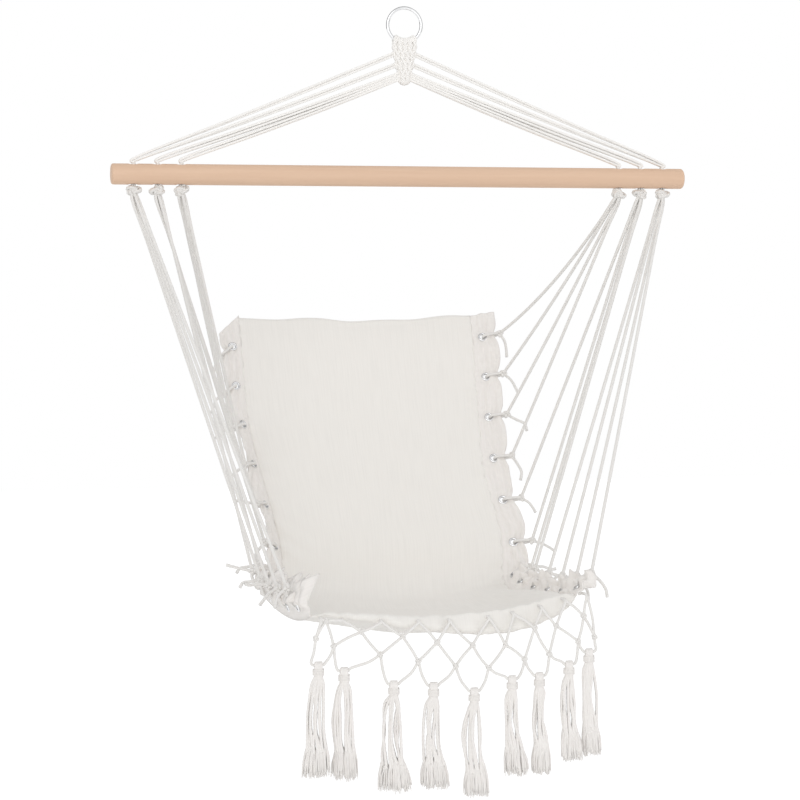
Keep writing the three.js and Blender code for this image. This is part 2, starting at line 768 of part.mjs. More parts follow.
const holeNames = ['inner', 'middle', 'outer'];
for (const [sideName, side] of [['left', -1], ['right', 1]]) {
  holeNames.forEach((holeName, hole) => {
    place(`${sideName}_${holeName}_upper_cords`, upperCords(side, hole), cotton);
    place(`${sideName}_${holeName}_lower_cords`, lowerCords(sideName, hole), cotton);
  });
  place(`${sideName}_hem`, sideHem(sideName), hemCloth);
  for (let eyelet = 0; eyelet < eyeletCount; eyelet += 1) {
    const ring = place(`${sideName}_eyelet_${eyelet + 1}`, eyeletRing(), steel);
    ring.applyMatrix4(eyeletMatrix(sideName, eyelet));
  }
}

place('seat_pad', seatPad(), cloth);
place('front_net', frontNet(), cotton);
tasselShares.forEach((shares, tassel) => {
  const piece = place(`tassel_${tassel + 1}`, tasselPiece(tassel), cotton);
  piece.position.copy(tasselTop(tassel));
});

export default chair;
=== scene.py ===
import math

import bpy
import numpy as np
from mathutils import Matrix


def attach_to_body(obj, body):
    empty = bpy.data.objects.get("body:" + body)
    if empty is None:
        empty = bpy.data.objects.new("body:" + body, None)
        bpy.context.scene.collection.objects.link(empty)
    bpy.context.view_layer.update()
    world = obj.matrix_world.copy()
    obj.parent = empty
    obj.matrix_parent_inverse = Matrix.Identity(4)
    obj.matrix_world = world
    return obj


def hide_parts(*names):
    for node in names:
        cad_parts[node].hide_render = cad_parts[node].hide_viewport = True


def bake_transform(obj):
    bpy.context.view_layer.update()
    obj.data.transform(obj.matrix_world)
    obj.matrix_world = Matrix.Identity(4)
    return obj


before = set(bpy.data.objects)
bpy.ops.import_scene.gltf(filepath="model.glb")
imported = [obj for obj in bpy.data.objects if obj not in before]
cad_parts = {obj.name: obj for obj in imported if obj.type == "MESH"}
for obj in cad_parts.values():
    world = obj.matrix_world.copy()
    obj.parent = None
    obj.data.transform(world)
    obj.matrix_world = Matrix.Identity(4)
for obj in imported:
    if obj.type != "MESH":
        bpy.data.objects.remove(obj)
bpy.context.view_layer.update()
scene = bpy.context.scene

# Studio: a wide white sheet under the hanging chair, even daylight, soft lamps from the front left,
# the right and below, and a glowing board just over the sheet for the undersides. The camera stands
# four metres off, a little below the bar and a little to its left.
FLOOR_HEIGHT = -1.62
FLOOR_HALF = 9.0
FLOOR_GLOW = 1.3
FLOOR_GLOW_SHARE = 0.6
DAYLIGHT = 0.81
WARM_WHITE = (1.0, 0.995, 0.988)
FLAGS = ((0.34, 1.0), (0.42, 0.52), (0.7, 0.3), (0.9, 0.36), (0.965, 1.0))


def tone(red, green, blue):
    """A colour as a picture gives it, each part from 0 to 255, for a colour socket."""
    shares = np.array([red, green, blue]) / 255
    linear = np.where(shares <= 0.04045, shares / 12.92, ((shares + 0.055) / 1.055) ** 2.4)
    return (*linear.tolist(), 1.0)


camera = bpy.data.objects.new("camera", bpy.data.cameras.new("camera"))
camera.location = (-0.977, -4.085, -0.4395)
camera.rotation_euler = (math.radians(86.94), 0, math.radians(-13.35))
camera.data.lens = 110.5
camera.data.sensor_width = 36
camera.data.clip_end = 60
scene.collection.objects.link(camera)
scene.camera = camera
scene.view_settings.view_transform = "Standard"


def lamp(name, energy, turn, size, colour, place=None):
    """A lamp far off, of a size in degrees, or a glowing board at a place, of a size in metres."""
    light = bpy.data.lights.new(name, "AREA" if place else "SUN")
    light.energy = energy
    light.color = colour
    holder = bpy.data.objects.new(name, light)
    if place:
        light.size = size
        holder.location = place
    else:
        light.angle = math.radians(size)
    holder.rotation_euler = [math.radians(angle) for angle in turn]
    scene.collection.objects.link(holder)


lamp("front_lamp", 0.5, (68, 0, -24), 40, (1.0, 0.995, 0.985))
lamp("side_lamp", 0.2, (66, 0, 62), 60, (0.97, 0.985, 1.0))
lamp("low_lamp", 0.9, (112, 0, -10), 60, WARM_WHITE)
lamp("floor_board", 4.0, (180, 0, 0), 2.2, WARM_WHITE, (-0.2, -1.4, -1.6))


def nodes_of(tree):
    """Empties a node tree, and gives a maker of nodes and a joiner of their sockets."""
    tree.nodes.clear()

    def add(kind, values=None, **settings):
        node = tree.nodes.new(kind if kind.startswith("NodeGroup") else "ShaderNode" + kind)
        for name, value in settings.items():
            setattr(node, name, value)
        for socket, value in (values or {}).items():
            node.inputs[socket].default_value = value
        return node

    def join(*wires):
        for start, way_out, end, way_in in wires:
            tree.links.new(start.outputs[way_out], end.inputs[way_in])

    return add, join


def shown_white(add, join, real, shown, share, output):
    """Lays a share of one shader over the real one wherever a camera, a mirror or glass looks."""
    rays = add("LightPath")
    seen = add("Math", operation="MAXIMUM")
    seen_through = add("Math", operation="MAXIMUM")
    part = add("Math", {1: share}, operation="MULTIPLY")
    mixed = add("MixShader")
    join(
        (rays, "Is Camera Ray", seen, 0), (rays, "Is Glossy Ray", seen, 1), (seen, 0, seen_through, 0),
        (rays, "Is Transmission Ray", seen_through, 1), (seen_through, 0, part, 0), (part, 0, mixed, 0),
        (real, 0, mixed, 1), (shown, 0, mixed, 2), (mixed, 0, output, "Surface"),
    )


# The white all round carries grey flags, from the sides to near the back, that only mirrors show.
world = bpy.data.worlds.new("studio")
world.use_nodes = True
scene.world = world
add, join = nodes_of(world.node_tree)
daylight = add("Background", {"Color": (0.985, 0.99, 1.0, 1), "Strength": DAYLIGHT})
white = add("Background", {"Strength": 1.0})
aim = add("TexCoord")
axes = add("SeparateXYZ")
facing_share = add("MapRange", {"From Min": -1.0})
flags = add("ValToRGB")
for stop in flags.color_ramp.elements:
    stop.color = (1, 1, 1, 1)
for position, grey in FLAGS:
    flags.color_ramp.elements.new(position).color = (grey, grey, grey, 1)
backdrop = add("Mix", {"A": (1, 1, 1, 1)}, data_type="RGBA")
join(
    (aim, "Generated", axes, 0), (axes, "Y", facing_share, "Value"), (facing_share, "Result", flags, "Fac"),
    (add("LightPath"), "Is Glossy Ray", backdrop, "Factor"), (flags, "Color", backdrop, "B"),
    (backdrop, "Result", white, "Color"),
)
shown_white(add, join, daylight, white, 1.0, add("OutputWorld"))

sheet_mesh = bpy.data.meshes.new("studio_floor")
corners = [(x * FLOOR_HALF, y * FLOOR_HALF, 0) for x, y in ((-1, -1), (1, -1), (1, 1), (-1, 1))]
sheet_mesh.from_pydata(corners, [], [(0, 1, 2, 3)])
studio_floor = bpy.data.objects.new("studio_floor", sheet_mesh)
studio_floor.location = (0, 0, FLOOR_HEIGHT)
scene.collection.objects.link(studio_floor)
paper = bpy.data.materials.new("white_paper")
paper.use_nodes = True
add, join = nodes_of(paper.node_tree)
matt = add("BsdfDiffuse", {"Color": (0.9, 0.9, 0.9, 1)})
glow = add("Emission", {"Strength": FLOOR_GLOW})
shown_white(add, join, matt, glow, FLOOR_GLOW_SHARE, add("OutputMaterial"))
sheet_mesh.materials.append(paper)


# Hanging ring: one round steel wire, bent to a ring and welded, then polished. It hangs on a
# hook, and every cord of the chair is looped over the bottom of it.
RING_CENTRE = -0.0265
RING_RADIUS = 0.02925
RING_WIRE = 0.00275
TURN = 2 * math.pi


def at(x, y, z):
    """A place, or a way, as an array."""
    return np.array([x, y, z], float)


def angles(count):
    """Even turns round a circle."""
    return TURN * np.arange(count) / count


class Skin:
    """Places and faces gathered for one piece."""

    def __init__(self):
        self.places = []
        self.faces = []
        self.count = 0

    def rings(self, rings, closed=False):
        """Joins like rings of places, each to the next, and caps the ends unless it closes."""
        rows, around = rings.shape[:2]
        start = self.count
        self.places.append(rings.reshape(-1, 3))
        self.count += rows * around
        row = np.arange(rows if closed else rows - 1)[:, None] * around
        after = (row + around) % (rows * around)
        side = np.arange(around)[None, :]
        beside = (side + 1) % around
        quads = np.stack([row + side, row + beside, after + beside, after + side], -1)
        self.faces += (start + quads.reshape(-1, 4)).tolist()
        if not closed:
            self.faces.append(list(range(start + around - 1, start - 1, -1)))
            self.faces.append(list(range(self.count - around, self.count)))

    def piece(self, name, finish):
        """The smooth mesh object of all that was gathered."""
        mesh = bpy.data.meshes.new(name)
        mesh.from_pydata(np.concatenate(self.places).tolist(), [], self.faces)
        mesh.polygons.foreach_set("use_smooth", [True] * len(mesh.polygons))
        mesh.materials.append(finish)
        made = bpy.data.objects.new(name, mesh)
        scene.collection.objects.link(made)
        return made


def route(points, step, closed=False):
    """Places at even steps on a smooth line through the points."""
    points = np.array(points, float)
    if closed:
        ghosts = np.vstack([points[-1:], points, points[:2]])
    else:
        ghosts = np.vstack([2 * points[0] - points[1], points, 2 * points[-1] - points[-2]])
    share = np.linspace(0, 1, 16, endpoint=False)[:, None]
    parts = []
    for a, b, c, d in zip(ghosts, ghosts[1:], ghosts[2:], ghosts[3:]):
        bent = (2 * a - 5 * b + 4 * c - d) * share**2 + (3 * b - a - 3 * c + d) * share**3
        parts.append((2 * b + (c - a) * share + bent) / 2)
    fine = np.concatenate([*parts, points[:1] if closed else points[-1:]])
    gone = np.concatenate([[0], np.cumsum(np.linalg.norm(np.diff(fine, axis=0), axis=1))])
    even = np.linspace(0, gone[-1], max(int(round(gone[-1] / step)), 3) + 1)
    line = np.stack([np.interp(even, gone, fine[:, axis]) for axis in range(3)], 1)
    return line[:-1] if closed else line


def crossways(line, closed=False):
    """Two ways across a line at each of its places, which don't twist along it."""
    if closed:
        along = np.roll(line, -1, 0) - np.roll(line, 1, 0)
    else:
        along = np.gradient(line, axis=0)
    along /= np.linalg.norm(along, axis=1, keepdims=True)
    lean = np.eye(3)[np.argmin(np.abs(along[0]))]
    across = np.empty_like(line)
    for place, way in enumerate(along):
        lean = lean - way * (lean @ way)
        lean = lean / math.sqrt(lean @ lean)
        across[place] = lean
    return across, np.cross(along, across)


def tube(skin, points, radius, step, sides, closed=False, swell=None, lobes=None):
    """A round bar along a smooth line, thickened by swell at even shares and shaped by lobes."""
    line = route(points, step, closed)
    across, up = crossways(line, closed)
    turn = angles(sides)
    wide = np.full((len(line), 1), radius)
    if swell is not None:
        wide *= np.interp(np.linspace(0, 1, len(line)), np.linspace(0, 1, len(swell)), swell)[:, None]
    if lobes is not None:
        wide = wide * lobes(turn, len(line))
    spokes = np.cos(turn)[None, :, None] * across[:, None] + np.sin(turn)[None, :, None] * up[:, None]
    skin.rings(line[:, None] + wide[..., None] * spokes, closed)
    return line


polished_steel = bpy.data.materials.new("polished_steel")
polished_steel.use_nodes = True
add, join = nodes_of(polished_steel.node_tree)
shader = add("BsdfPrincipled", {"Metallic": 1.0})
place = add("TexCoord")
smudges = add("TexNoise", {"Scale": 90, "Detail": 4})
rub = add("MapRange", {"To Min": 0.1, "To Max": 0.18})
tint = add("ValToRGB")
tint.color_ramp.elements[0].color = tone(214, 215, 216)
tint.color_ramp.elements[1].color = tone(232, 232, 233)
grind = add("Bump", {"Strength": 0.04, "Distance": 0.0002})
join(
    (place, "Object", smudges, "Vector"), (smudges, "Fac", rub, "Value"), (rub, "Result", shader, "Roughness"),
    (smudges, "Fac", tint, "Fac"), (tint, "Color", shader, "Base Color"), (smudges, "Fac", grind, "Height"),
    (grind, "Normal", shader, "Normal"), (shader, 0, add("OutputMaterial"), "Surface"),
)

skin = Skin()
turns = angles(48)
wire_line = np.stack([RING_RADIUS * np.sin(turns), 0 * turns, RING_CENTRE + RING_RADIUS * np.cos(turns)], 1)
tube(skin, wire_line, RING_WIRE, 0.0015, 20, closed=True)
ring = skin.piece("ring_wire", polished_steel)
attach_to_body(ring, "hanger")
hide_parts("hanging_ring")


# Loops and woven neck: cotton cords looped side by side over the ring, then plaited in pairs that
# change partners from row to row into a flat sleeve, which narrows as the cords leave it. A plain
# core fills it behind the plait.
CORD = 0.002
ROPE_STEP = 0.85
ROPE_FULL = 1.04
ROPE_SIDES = 10
SWING_HEIGHT = -0.05575
NECK_LONG = 0.067
NECK_TOP_HALF = (0.0235, 0.008)
NECK_FOOT_HALF = (0.0115, 0.009)
NECK_EDGE = ((0, 0.22, 0.5, 0.78, 1), (1, 1, 0.82, 0.62, 0.62))
LOOP_COUNT = 10
LOOP_SPREAD = math.radians(42)
LOOP_RADIUS = RING_WIRE + 0.0006 + 0.00248
PLAIT_ROWS = 4
PLAIT_LIFT = 0.0011
PLAIT_CORD = 0.00248
CORE_INSET = (0.0026, 0.0023)
FIBRE_SCALE = 1200


def effect_of(name, colours, values=()):
    """A node group that takes colours and values by name, and gives a colour and a height."""
    group = bpy.data.node_groups.new(name, "ShaderNodeTree")
    for way, kind, sockets in (
        ("INPUT", "Color", colours), ("INPUT", "Float", values),
        ("OUTPUT", "Color", ["Colour"]), ("OUTPUT", "Float", ["Height"]),
    ):
        for socket in sockets:
            group.interface.new_socket(socket, in_out=way, socket_type="NodeSocket" + kind)
    add, join = nodes_of(group)
    return group, add, join, add("NodeGroupInput"), add("NodeGroupOutput")


def finish_of(name, effect, look, shine, strength, depth):
    """A finish that takes its colour and its fine relief from one effect."""
    finish = bpy.data.materials.new(name)
    finish.use_nodes = True
    add, join = nodes_of(finish.node_tree)
    shader = add("BsdfPrincipled", shine)
    group = add("Group", look, node_tree=effect)
    relief = add("Bump", {"Strength": strength, "Distance": depth})
    join(
        (group, "Colour", shader, "Base Color"), (group, "Height", relief, "Height"),
        (relief, "Normal", shader, "Normal"), (shader, 0, add("OutputMaterial"), "Surface"),
    )
    return finish


cotton_fibre, add, join, fibre_in, fibre_out = effect_of(
    "cotton_fibre", ["Colour", "Shaded Colour"], ["Fibre Scale", "Patchiness"]
)
place = add("TexCoord")
fuzz = add("TexNoise", {"Detail": 5, "Roughness": 0.7})
patches = add("TexNoise", {"Scale": 38, "Detail": 3})
spread = add("Math", {2: 0.25}, operation="MULTIPLY_ADD")
shade = add("Mix", data_type="RGBA")
join(
    (place, "Object", fuzz, "Vector"), (fibre_in, "Fibre Scale", fuzz, "Scale"),
    (place, "Object", patches, "Vector"), (patches, "Fac", spread, 0), (fibre_in, "Patchiness", spread, 1),
    (spread, 0, shade, "Factor"), (fibre_in, "Colour", shade, "A"), (fibre_in, "Shaded Colour", shade, "B"),
    (shade, "Result", fibre_out, "Colour"), (fuzz, "Fac", fibre_out, "Height"),
)


def cotton(name, colour, shaded, depth, sheen):
    """Unbleached cotton cord or yarn, matt and a little hairy."""
    look = {"Colour": tone(*colour), "Shaded Colour": tone(*shaded)}
    look |= {"Fibre Scale": FIBRE_SCALE, "Patchiness": 0.5}
    shine = {"Roughness": 0.92, "Specular IOR Level": 0.15, "Sheen Weight": sheen, "Sheen Roughness": 0.6}
    return finish_of(name, cotton_fibre, look, shine, 0.15, depth)


cord_cotton = cotton("cord_cotton", (244, 242, 239), (238, 235, 231), 0.00006, 0.1)


def rope(skin, points, radius=CORD, closed=False, pitch=0.016, strands=3, swell=None, lay=0.15):
    """A cord of laid strands, which wind round each other along a smooth line."""

    def lobes(turn, count):
        gone = radius * ROPE_STEP * np.arange(count) / pitch
        if closed:
            gone = np.arange(count) / count * round(count * radius * ROPE_STEP / pitch)
        return 1 - lay * (1 - np.abs(np.sin(strands * (turn[None, :] / 2 - math.pi * gone[:, None]))))

    return tube(skin, points, radius * ROPE_FULL, radius * ROPE_STEP, ROPE_SIDES, closed, swell, lobes)


def neck_half(down):
    """Half the neck's width and depth at a share of the way down it."""
    return [np.interp(down, [0, 1], ends) for ends in zip(NECK_TOP_HALF, NECK_FOOT_HALF)]


def plait_place(strand, down, face):
    """Where a cord of the plait runs, or None where it has already left the neck."""
    edge = np.interp(down, *NECK_EDGE)
    share = (2 * strand + 1) / LOOP_COUNT - 1
    if abs(share) > edge:
        return None
    row = min(int(down * PLAIT_ROWS), PLAIT_ROWS - 1)
    beside = strand + (1 if (strand + row) % 2 == 0 else -1)
    if not 0 <= beside < LOOP_COUNT:
        beside = strand
    middle = ((strand + beside) + 1) / LOOP_COUNT - 1
    angle = TURN * (down * PLAIT_ROWS - row)
    turned_to = middle + (share - middle) * math.cos(angle)
    lift = 0 if beside == strand else PLAIT_LIFT * math.sin(angle) * (1 if beside > strand else -1)
    wide, deep = neck_half(down)
    across = np.clip(turned_to / edge / 0.9, -1, 1)
    flat = (1 - abs(across) ** 3.2) ** 0.5
    height = SWING_HEIGHT - NECK_LONG * down + 0.004 * down**8 * across**2
    return ((wide - PLAIT_CORD) * across, face * ((deep - PLAIT_CORD) * max(flat, 0.28) + lift), height)


skin = Skin()
for strand in range(LOOP_COUNT):
    tilt = LOOP_SPREAD * ((2 * strand + 1) / LOOP_COUNT - 1)
    over = []
    for angle in math.pi * np.arange(9) / 8:
        bent = RING_RADIUS - LOOP_RADIUS * math.sin(angle)
        height = RING_CENTRE - math.cos(tilt) * bent
        over.append((math.sin(tilt) * bent, -LOOP_RADIUS * math.cos(angle), height))
    legs = {}
    for face in (-1, 1):
        leg = []
        for step in range(1, 4 * PLAIT_ROWS + 1):
            spot = plait_place(strand, step / (4 * PLAIT_ROWS) - 1e-6, face)
            if spot is None:
                break
            leg.append(spot)
        leg.append(np.array(leg[-1]) * at(0.9, 0.35, 1) - at(0, 0, 0.0035))
        legs[face] = leg
    rope(skin, [*reversed(legs[-1]), *over, *legs[1]], PLAIT_CORD, pitch=0.02, lay=0.08)
core = []
for down in np.linspace(-0.03, 0.99, 13):
    wide, deep = np.array(neck_half(down)) - CORE_INSET
    turn = angles(24)
    height = 0 * turn + SWING_HEIGHT - NECK_LONG * down
    core.append(np.stack([wide * np.cos(turn), -deep * np.sin(turn), height], 1))
skin.rings(np.array(core))
neck = skin.piece("woven_neck_cords", cord_cotton)
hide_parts("cord_loops", "woven_neck")
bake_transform(neck)


# Spreader bar: a turned dowel of pale beech, a metre long, sanded round at its ends. Three holes
# at each end are drilled straight through and eased at their mouths, where the cords bear.
BAR_HALF = 0.5
BAR_RADIUS = 0.0175
BAR_HEIGHT = -0.2825
BAR_ROUNDING = 0.004
HOLE_PLACES = (0.383, 0.423, 0.463)
HOLE_RADIUS = 0.0053
MOUTH_RADIUS = 0.0104
MOUTH_DEEP = 0.0036
DRILL_PROUD = 0.002

wood_grain, add, join, grain_in, grain_out = effect_of("wood_grain", ["Light Wood", "Dark Wood"])
place = add("TexCoord")
stretch = add("Mapping", {"Scale": (5, 120, 120)})
figure = add("TexNoise", {"Scale": 1.0, "Detail": 6, "Distortion": 0.4})
fleck_stretch = add("Mapping", {"Scale": (110, 900, 900)})
flecks = add("TexNoise", {"Scale": 1.0, "Detail": 2})
fleck_ramp = add("MapRange", {"From Min": 0.62, "From Max": 0.74, "To Max": 0.35})
tones = add("Mix", data_type="RGBA")
pores = add("Mix", data_type="RGBA")
join(
    (place, "Object", stretch, "Vector"), (stretch, 0, figure, "Vector"),
    (place, "Object", fleck_stretch, "Vector"), (fleck_stretch, 0, flecks, "Vector"),
    (flecks, "Fac", fleck_ramp, "Value"), (figure, "Fac", tones, "Factor"),
    (grain_in, "Light Wood", tones, "A"), (grain_in, "Dark Wood", tones, "B"),
    (fleck_ramp, "Result", pores, "Factor"), (tones, "Result", pores, "A"), (grain_in, "Dark Wood", pores, "B"),
    (pores, "Result", grain_out, "Colour"), (figure, "Fac", grain_out, "Height"),
)
beech_look = {"Light Wood": tone(224, 193, 167), "Dark Wood": tone(212, 178, 151)}
beech_shine = {"Roughness": 0.55, "Specular IOR Level": 0.35}
pale_beech = finish_of("pale_beech", wood_grain, beech_look, beech_shine, 0.25, 0.0004)


def turned(skin, profile, sides, centre, upright=False):
    """Turns a profile of (distance along, radius) round an axis along the bar, or an upright one."""
    turn = angles(sides)
    rings = []
    for along, radius in profile:
        rings.append(np.stack([0 * turn + along, radius * np.cos(turn), radius * np.sin(turn)], 1))
    skin.rings(np.roll(rings, -1 if upright else 0, axis=2) + centre)


skin = Skin()
ends = [
    (BAR_ROUNDING * (1 - math.cos(angle)), BAR_RADIUS - BAR_ROUNDING * (1 - math.sin(angle)))
    for angle in math.pi * np.arange(7) / 12
]
profile = [(-BAR_HALF + along, radius) for along, radius in ends]
profile += [(along, BAR_RADIUS) for along in np.linspace(-0.48, 0.48, 25)]
profile += [(BAR_HALF - along, radius) for along, radius in reversed(ends)]
turned(skin, profile, 72, (0, 0, BAR_HEIGHT))
bar = skin.piece("turned_bar", pale_beech)
drill_skin = Skin()
drill_end = [
    (BAR_RADIUS + DRILL_PROUD, MOUTH_RADIUS), (BAR_RADIUS - MOUTH_DEEP, HOLE_RADIUS + 0.0004),
    (BAR_RADIUS - 2 * MOUTH_DEEP, HOLE_RADIUS),
]
drill_shape = [(-along, radius) for along, radius in drill_end] + drill_end[::-1]
for side in (-1, 1):
    for hole in HOLE_PLACES:
        turned(drill_skin, drill_shape, 32, (side * hole, 0, BAR_HEIGHT), upright=True)
drills = drill_skin.piece("drills", pale_beech)
cut = bar.modifiers.new("holes", "BOOLEAN")
cut.operation = "DIFFERENCE"
cut.solver = "EXACT"
cut.object = drills
bored = bpy.data.meshes.new_from_object(bar.evaluated_get(bpy.context.evaluated_depsgraph_get()))
bar.modifiers.clear()
bar.data = bored
bpy.data.objects.remove(drills)
bar.data.polygons.foreach_set("use_smooth", [True] * len(bar.data.polygons))
bar.data.set_sharp_from_angle(angle=math.radians(38))
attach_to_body(bar, "suspension")
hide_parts("spreader_bar")


# Upper cords: four laid cotton cords for each hole of the bar, which leave the neck at three
# heights, run down taut and side by side, and go through the hole together.
LOOSE_PITCH = 0.0045
UPPER_CORD = 0.0021
CORD_RISE = 0.006
LEVELS_DOWN = {"high": 0.18, "middle": 0.48, "low": 0.8}
UPPER_DROPS = ((0.3, 0.0009), (0.6, 0.0012), (0.85, 0.0006))
HOLE_NAMES = ("inner", "middle", "outer")
SIDES = {"left": -1, "right": 1}

for side_name, side in SIDES.items():
    for hole, hole_name in enumerate(HOLE_NAMES):
        hole_x = side * HOLE_PLACES[hole]
        levels = [("low", hole * 4 - 1), ("low", hole * 4 - 3)] * 2
        if hole == 2:
            levels = [("high", 1), ("middle", 1), ("high", -1), ("middle", -1)]
        skin = Skin()
        for strand, (level, stack) in enumerate(levels):
            outer = 1 if strand % 2 == 0 else -1
            front = -1 if strand < 2 else 1
            neck_y = 0 if hole == 2 else front * LOOSE_PITCH / 2
            stacked = stack * LOOSE_PITCH / 2 * (1 if hole == 2 else 0.8)
            aim = at(0, neck_y, SWING_HEIGHT - NECK_LONG * LEVELS_DOWN[level] + stacked)
            mouth = at(hole_x, front * LOOSE_PITCH / 2, BAR_HEIGHT + BAR_RADIUS + CORD_RISE / 2)
            run = at(aim[0] - mouth[0], 0, aim[2] - mouth[2])
            run /= np.linalg.norm(run)
            upward = at(-run[2] * np.sign(run[0]), 0, abs(run[0]))
            start = at(hole_x + side * outer * LOOSE_PITCH / 4, front * LOOSE_PITCH / 4, BAR_HEIGHT)
            bend = mouth + run * CORD_RISE * 2 + upward * (CORD_RISE / 2 + outer * LOOSE_PITCH / 2)
            mouth[0] = start[0] - side * 0.001
            points = [start, mouth - at(0, 0, 0.003), bend]
            for share, drop in UPPER_DROPS:
                points.append(bend + (aim - bend) * share - at(0, 0, drop * (1 + 0.6 * strand % 2)))
            points.append(aim)
            rope(skin, points, UPPER_CORD, lay=0.1)
        cords = skin.piece(f"{side_name}_{hole_name}_upper_ropes", cord_cotton)
        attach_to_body(cords, "suspension")
        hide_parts(f"{side_name}_{hole_name}_upper_cords")


# Seat cloth: one long cotton cloth, a metre by half a metre. Its middle is lined with a soft
# padding, held by a seam down each side, and it hangs as a leaning back that bends into a seat.
BACK_RUN = 0.502
BEND_RUN = 0.06
CLOTH_LONG = 1.0
CLOTH_TOP = (-0.016, 0.325, BAR_HEIGHT - 0.245)
LEANS = ((0, BACK_RUN, BACK_RUN + BEND_RUN, CLOTH_LONG), (30.5, 30.5, 84, 107))
PAD_HALF = 0.219
PAD_THICK = 0.024
PAD_SEAM_THICK = 0.007
PAD_END_THICK = 0.015
PAD_END_ROUND = 0.007
PUCKER_PITCH = 0.031
LIP_FOLD_PITCH = 0.034
BEND_FOLD_PITCH = 0.028
PAD_SLACK = 0.0045
FULL_EDGE_RUNS = (0.56, 0.65, 0.7, 0.75, 0.8, 0.85, 0.9, 0.95, 0.99)
FULL_EDGE_HEIGHTS = (0, 0.008, 0.013, 0.017, 0.019, 0.02, 0.018, 0.012, 0)
FRONT_HANG_SHARES = (-1, -0.9, -0.65, -0.35, -0.05, 0.24, 0.55, 0.79, 0.94, 1)
FRONT_HANG_MM = (0, -6, -6, 3, 9, 17, 22, 20, 15, 4)
FRONT_FLATTER = ((-1, -0.9, -0.6, -0.3, -0.05), (0, 0.005, 0.006, 0.002, 0))
SEAT_SLEW = 0.012
SIDE_RISE = 0.008
FRONT_NARROW_SHARES = {-1: 0.0, 1: 0.045}
WAIST_SHARES = {-1: 0.17, 1: 0.065}
WAIST_RUNS = {-1: (0.18, 0.502, 0.5, 0.61), 1: (0.0, 0.29, 0.32, 0.47)}
SIDE_DROPS = {-1: 0.022, 1: 0.0}

marks = np.linspace(-0.05, CLOTH_LONG + 0.05, 2201)
marks_lean = np.radians(np.interp(marks, *LEANS))
marks_y = -np.concatenate([[0], np.cumsum(np.sin((marks_lean[1:] + marks_lean[:-1]) / 2) * np.diff(marks))])
marks_z = -np.concatenate([[0], np.cumsum(np.cos((marks_lean[1:] + marks_lean[:-1]) / 2) * np.diff(marks))])
marks_y += CLOTH_TOP[1] - np.interp(0, marks, marks_y)
marks_z += CLOTH_TOP[2] - np.interp(0, marks, marks_z)


def eased(value, low, high):
    """A share that eases from 0 to 1 between two values."""
    share = np.clip((value - low) / (high - low), 0, 1)
    return share * share * (3 - 2 * share)


def seat_share(distance):
    """How far the cloth has turned from back to seat, from 0 to 1."""
    return eased(distance, BACK_RUN - BEND_RUN, BACK_RUN + 2 * BEND_RUN)


def bell(far, width):
    """1 at no distance, fading softly over a width."""
    return np.exp(-((far / width) ** 2))


def facing(distance):
    """The way the upper face of the cloth looks, at a distance down it."""
    lean = np.interp(distance, marks, marks_lean)
    return np.stack([0 * lean, -np.cos(lean), np.sin(lean)], -1)


def cloth_place(distance, across, lift):
    """A place on the cloth: down from its top, across from -1 to 1, and up off its middle layer."""
    distance, across, lift = np.broadcast_arrays(np.asarray(distance, float), across, lift)
    share = seat_share(distance)
    sag = 0.012 + 0.022 * share
    narrow = 0 * distance
    for side in (-1, 1):
        top, tight, ease, foot = WAIST_RUNS[side]
        waist = WAIST_SHARES[side] * (eased(distance, top, tight) - eased(distance, ease, foot))
        narrow = np.where(across * side >= 0, FRONT_NARROW_SHARES[side] * share + waist, narrow)
    along_seat = np.clip((distance - BACK_RUN) / (CLOTH_LONG - BACK_RUN), 0, 1)
    rise = SIDE_RISE * np.sin(math.pi * along_seat) * across * across
    side_drop = np.where(across < 0, SIDE_DROPS[-1], SIDE_DROPS[1])
    drop = side_drop * eased(distance, BACK_RUN, CLOTH_LONG) * across * across
    x = CLOTH_TOP[0] - SEAT_SLEW * share + PAD_HALF * (1 - narrow) * across
    line = np.stack([x, np.interp(distance, marks, marks_y), np.interp(distance, marks, marks_z) - drop], -1)
    return line + facing(distance) * (lift + rise - sag * (1 - across * across))[..., None]


cloth_weave, add, join, weave_in, weave_out = effect_of("cloth_weave", ["Colour", "Slub Colour"])
place = add("UVMap", uv_map="cloth")
crossing = add("Math", operation="ADD")
for thread, turn in enumerate((0, math.pi / 2)):
    laid = add("Mapping", {"Rotation": (0, 0, turn)})
    wave = add("TexWave", {"Scale": 210, "Distortion": 0.6, "Detail": 1}, bands_direction="X")
    join((place, "UV", laid, "Vector"), (laid, 0, wave, "Vector"), (wave, "Fac", crossing, thread))
slub_stretch = add("Mapping", {"Scale": (420, 14, 1)})
slubs = add("TexNoise", {"Scale": 1.0, "Detail": 4})
slub_reach = add("MapRange", {"From Min": 0.4, "From Max": 0.75})
shade = add("Mix", data_type="RGBA")
raised = add("Math", {1: 1.4}, operation="MULTIPLY_ADD")
join(
    (place, "UV", slub_stretch, "Vector"), (slub_stretch, 0, slubs, "Vector"),
    (slubs, "Fac", slub_reach, "Value"), (slub_reach, "Result", shade, "Factor"),
    (weave_in, "Colour", shade, "A"), (weave_in, "Slub Colour", shade, "B"),
    (shade, "Result", weave_out, "Colour"), (slubs, "Fac", raised, 0), (crossing, 0, raised, 2),
    (raised, 0, weave_out, "Height"),
)


def woven_cloth(name, colour, slub, depth):
    """Plain woven unbleached cotton, with slubs that run down the cloth."""
    look = {"Colour": tone(*colour), "Slub Colour": tone(*slub)}
    shine = {"Roughness": 0.95, "Specular IOR Level": 0.12, "Sheen Weight": 0.12, "Sheen Roughness": 0.6}
    return finish_of(name, cloth_weave, look, shine, 0.35, depth)


seat_cotton = woven_cloth("seat_cotton", (236, 233, 228), (232, 229, 224), 0.00016)


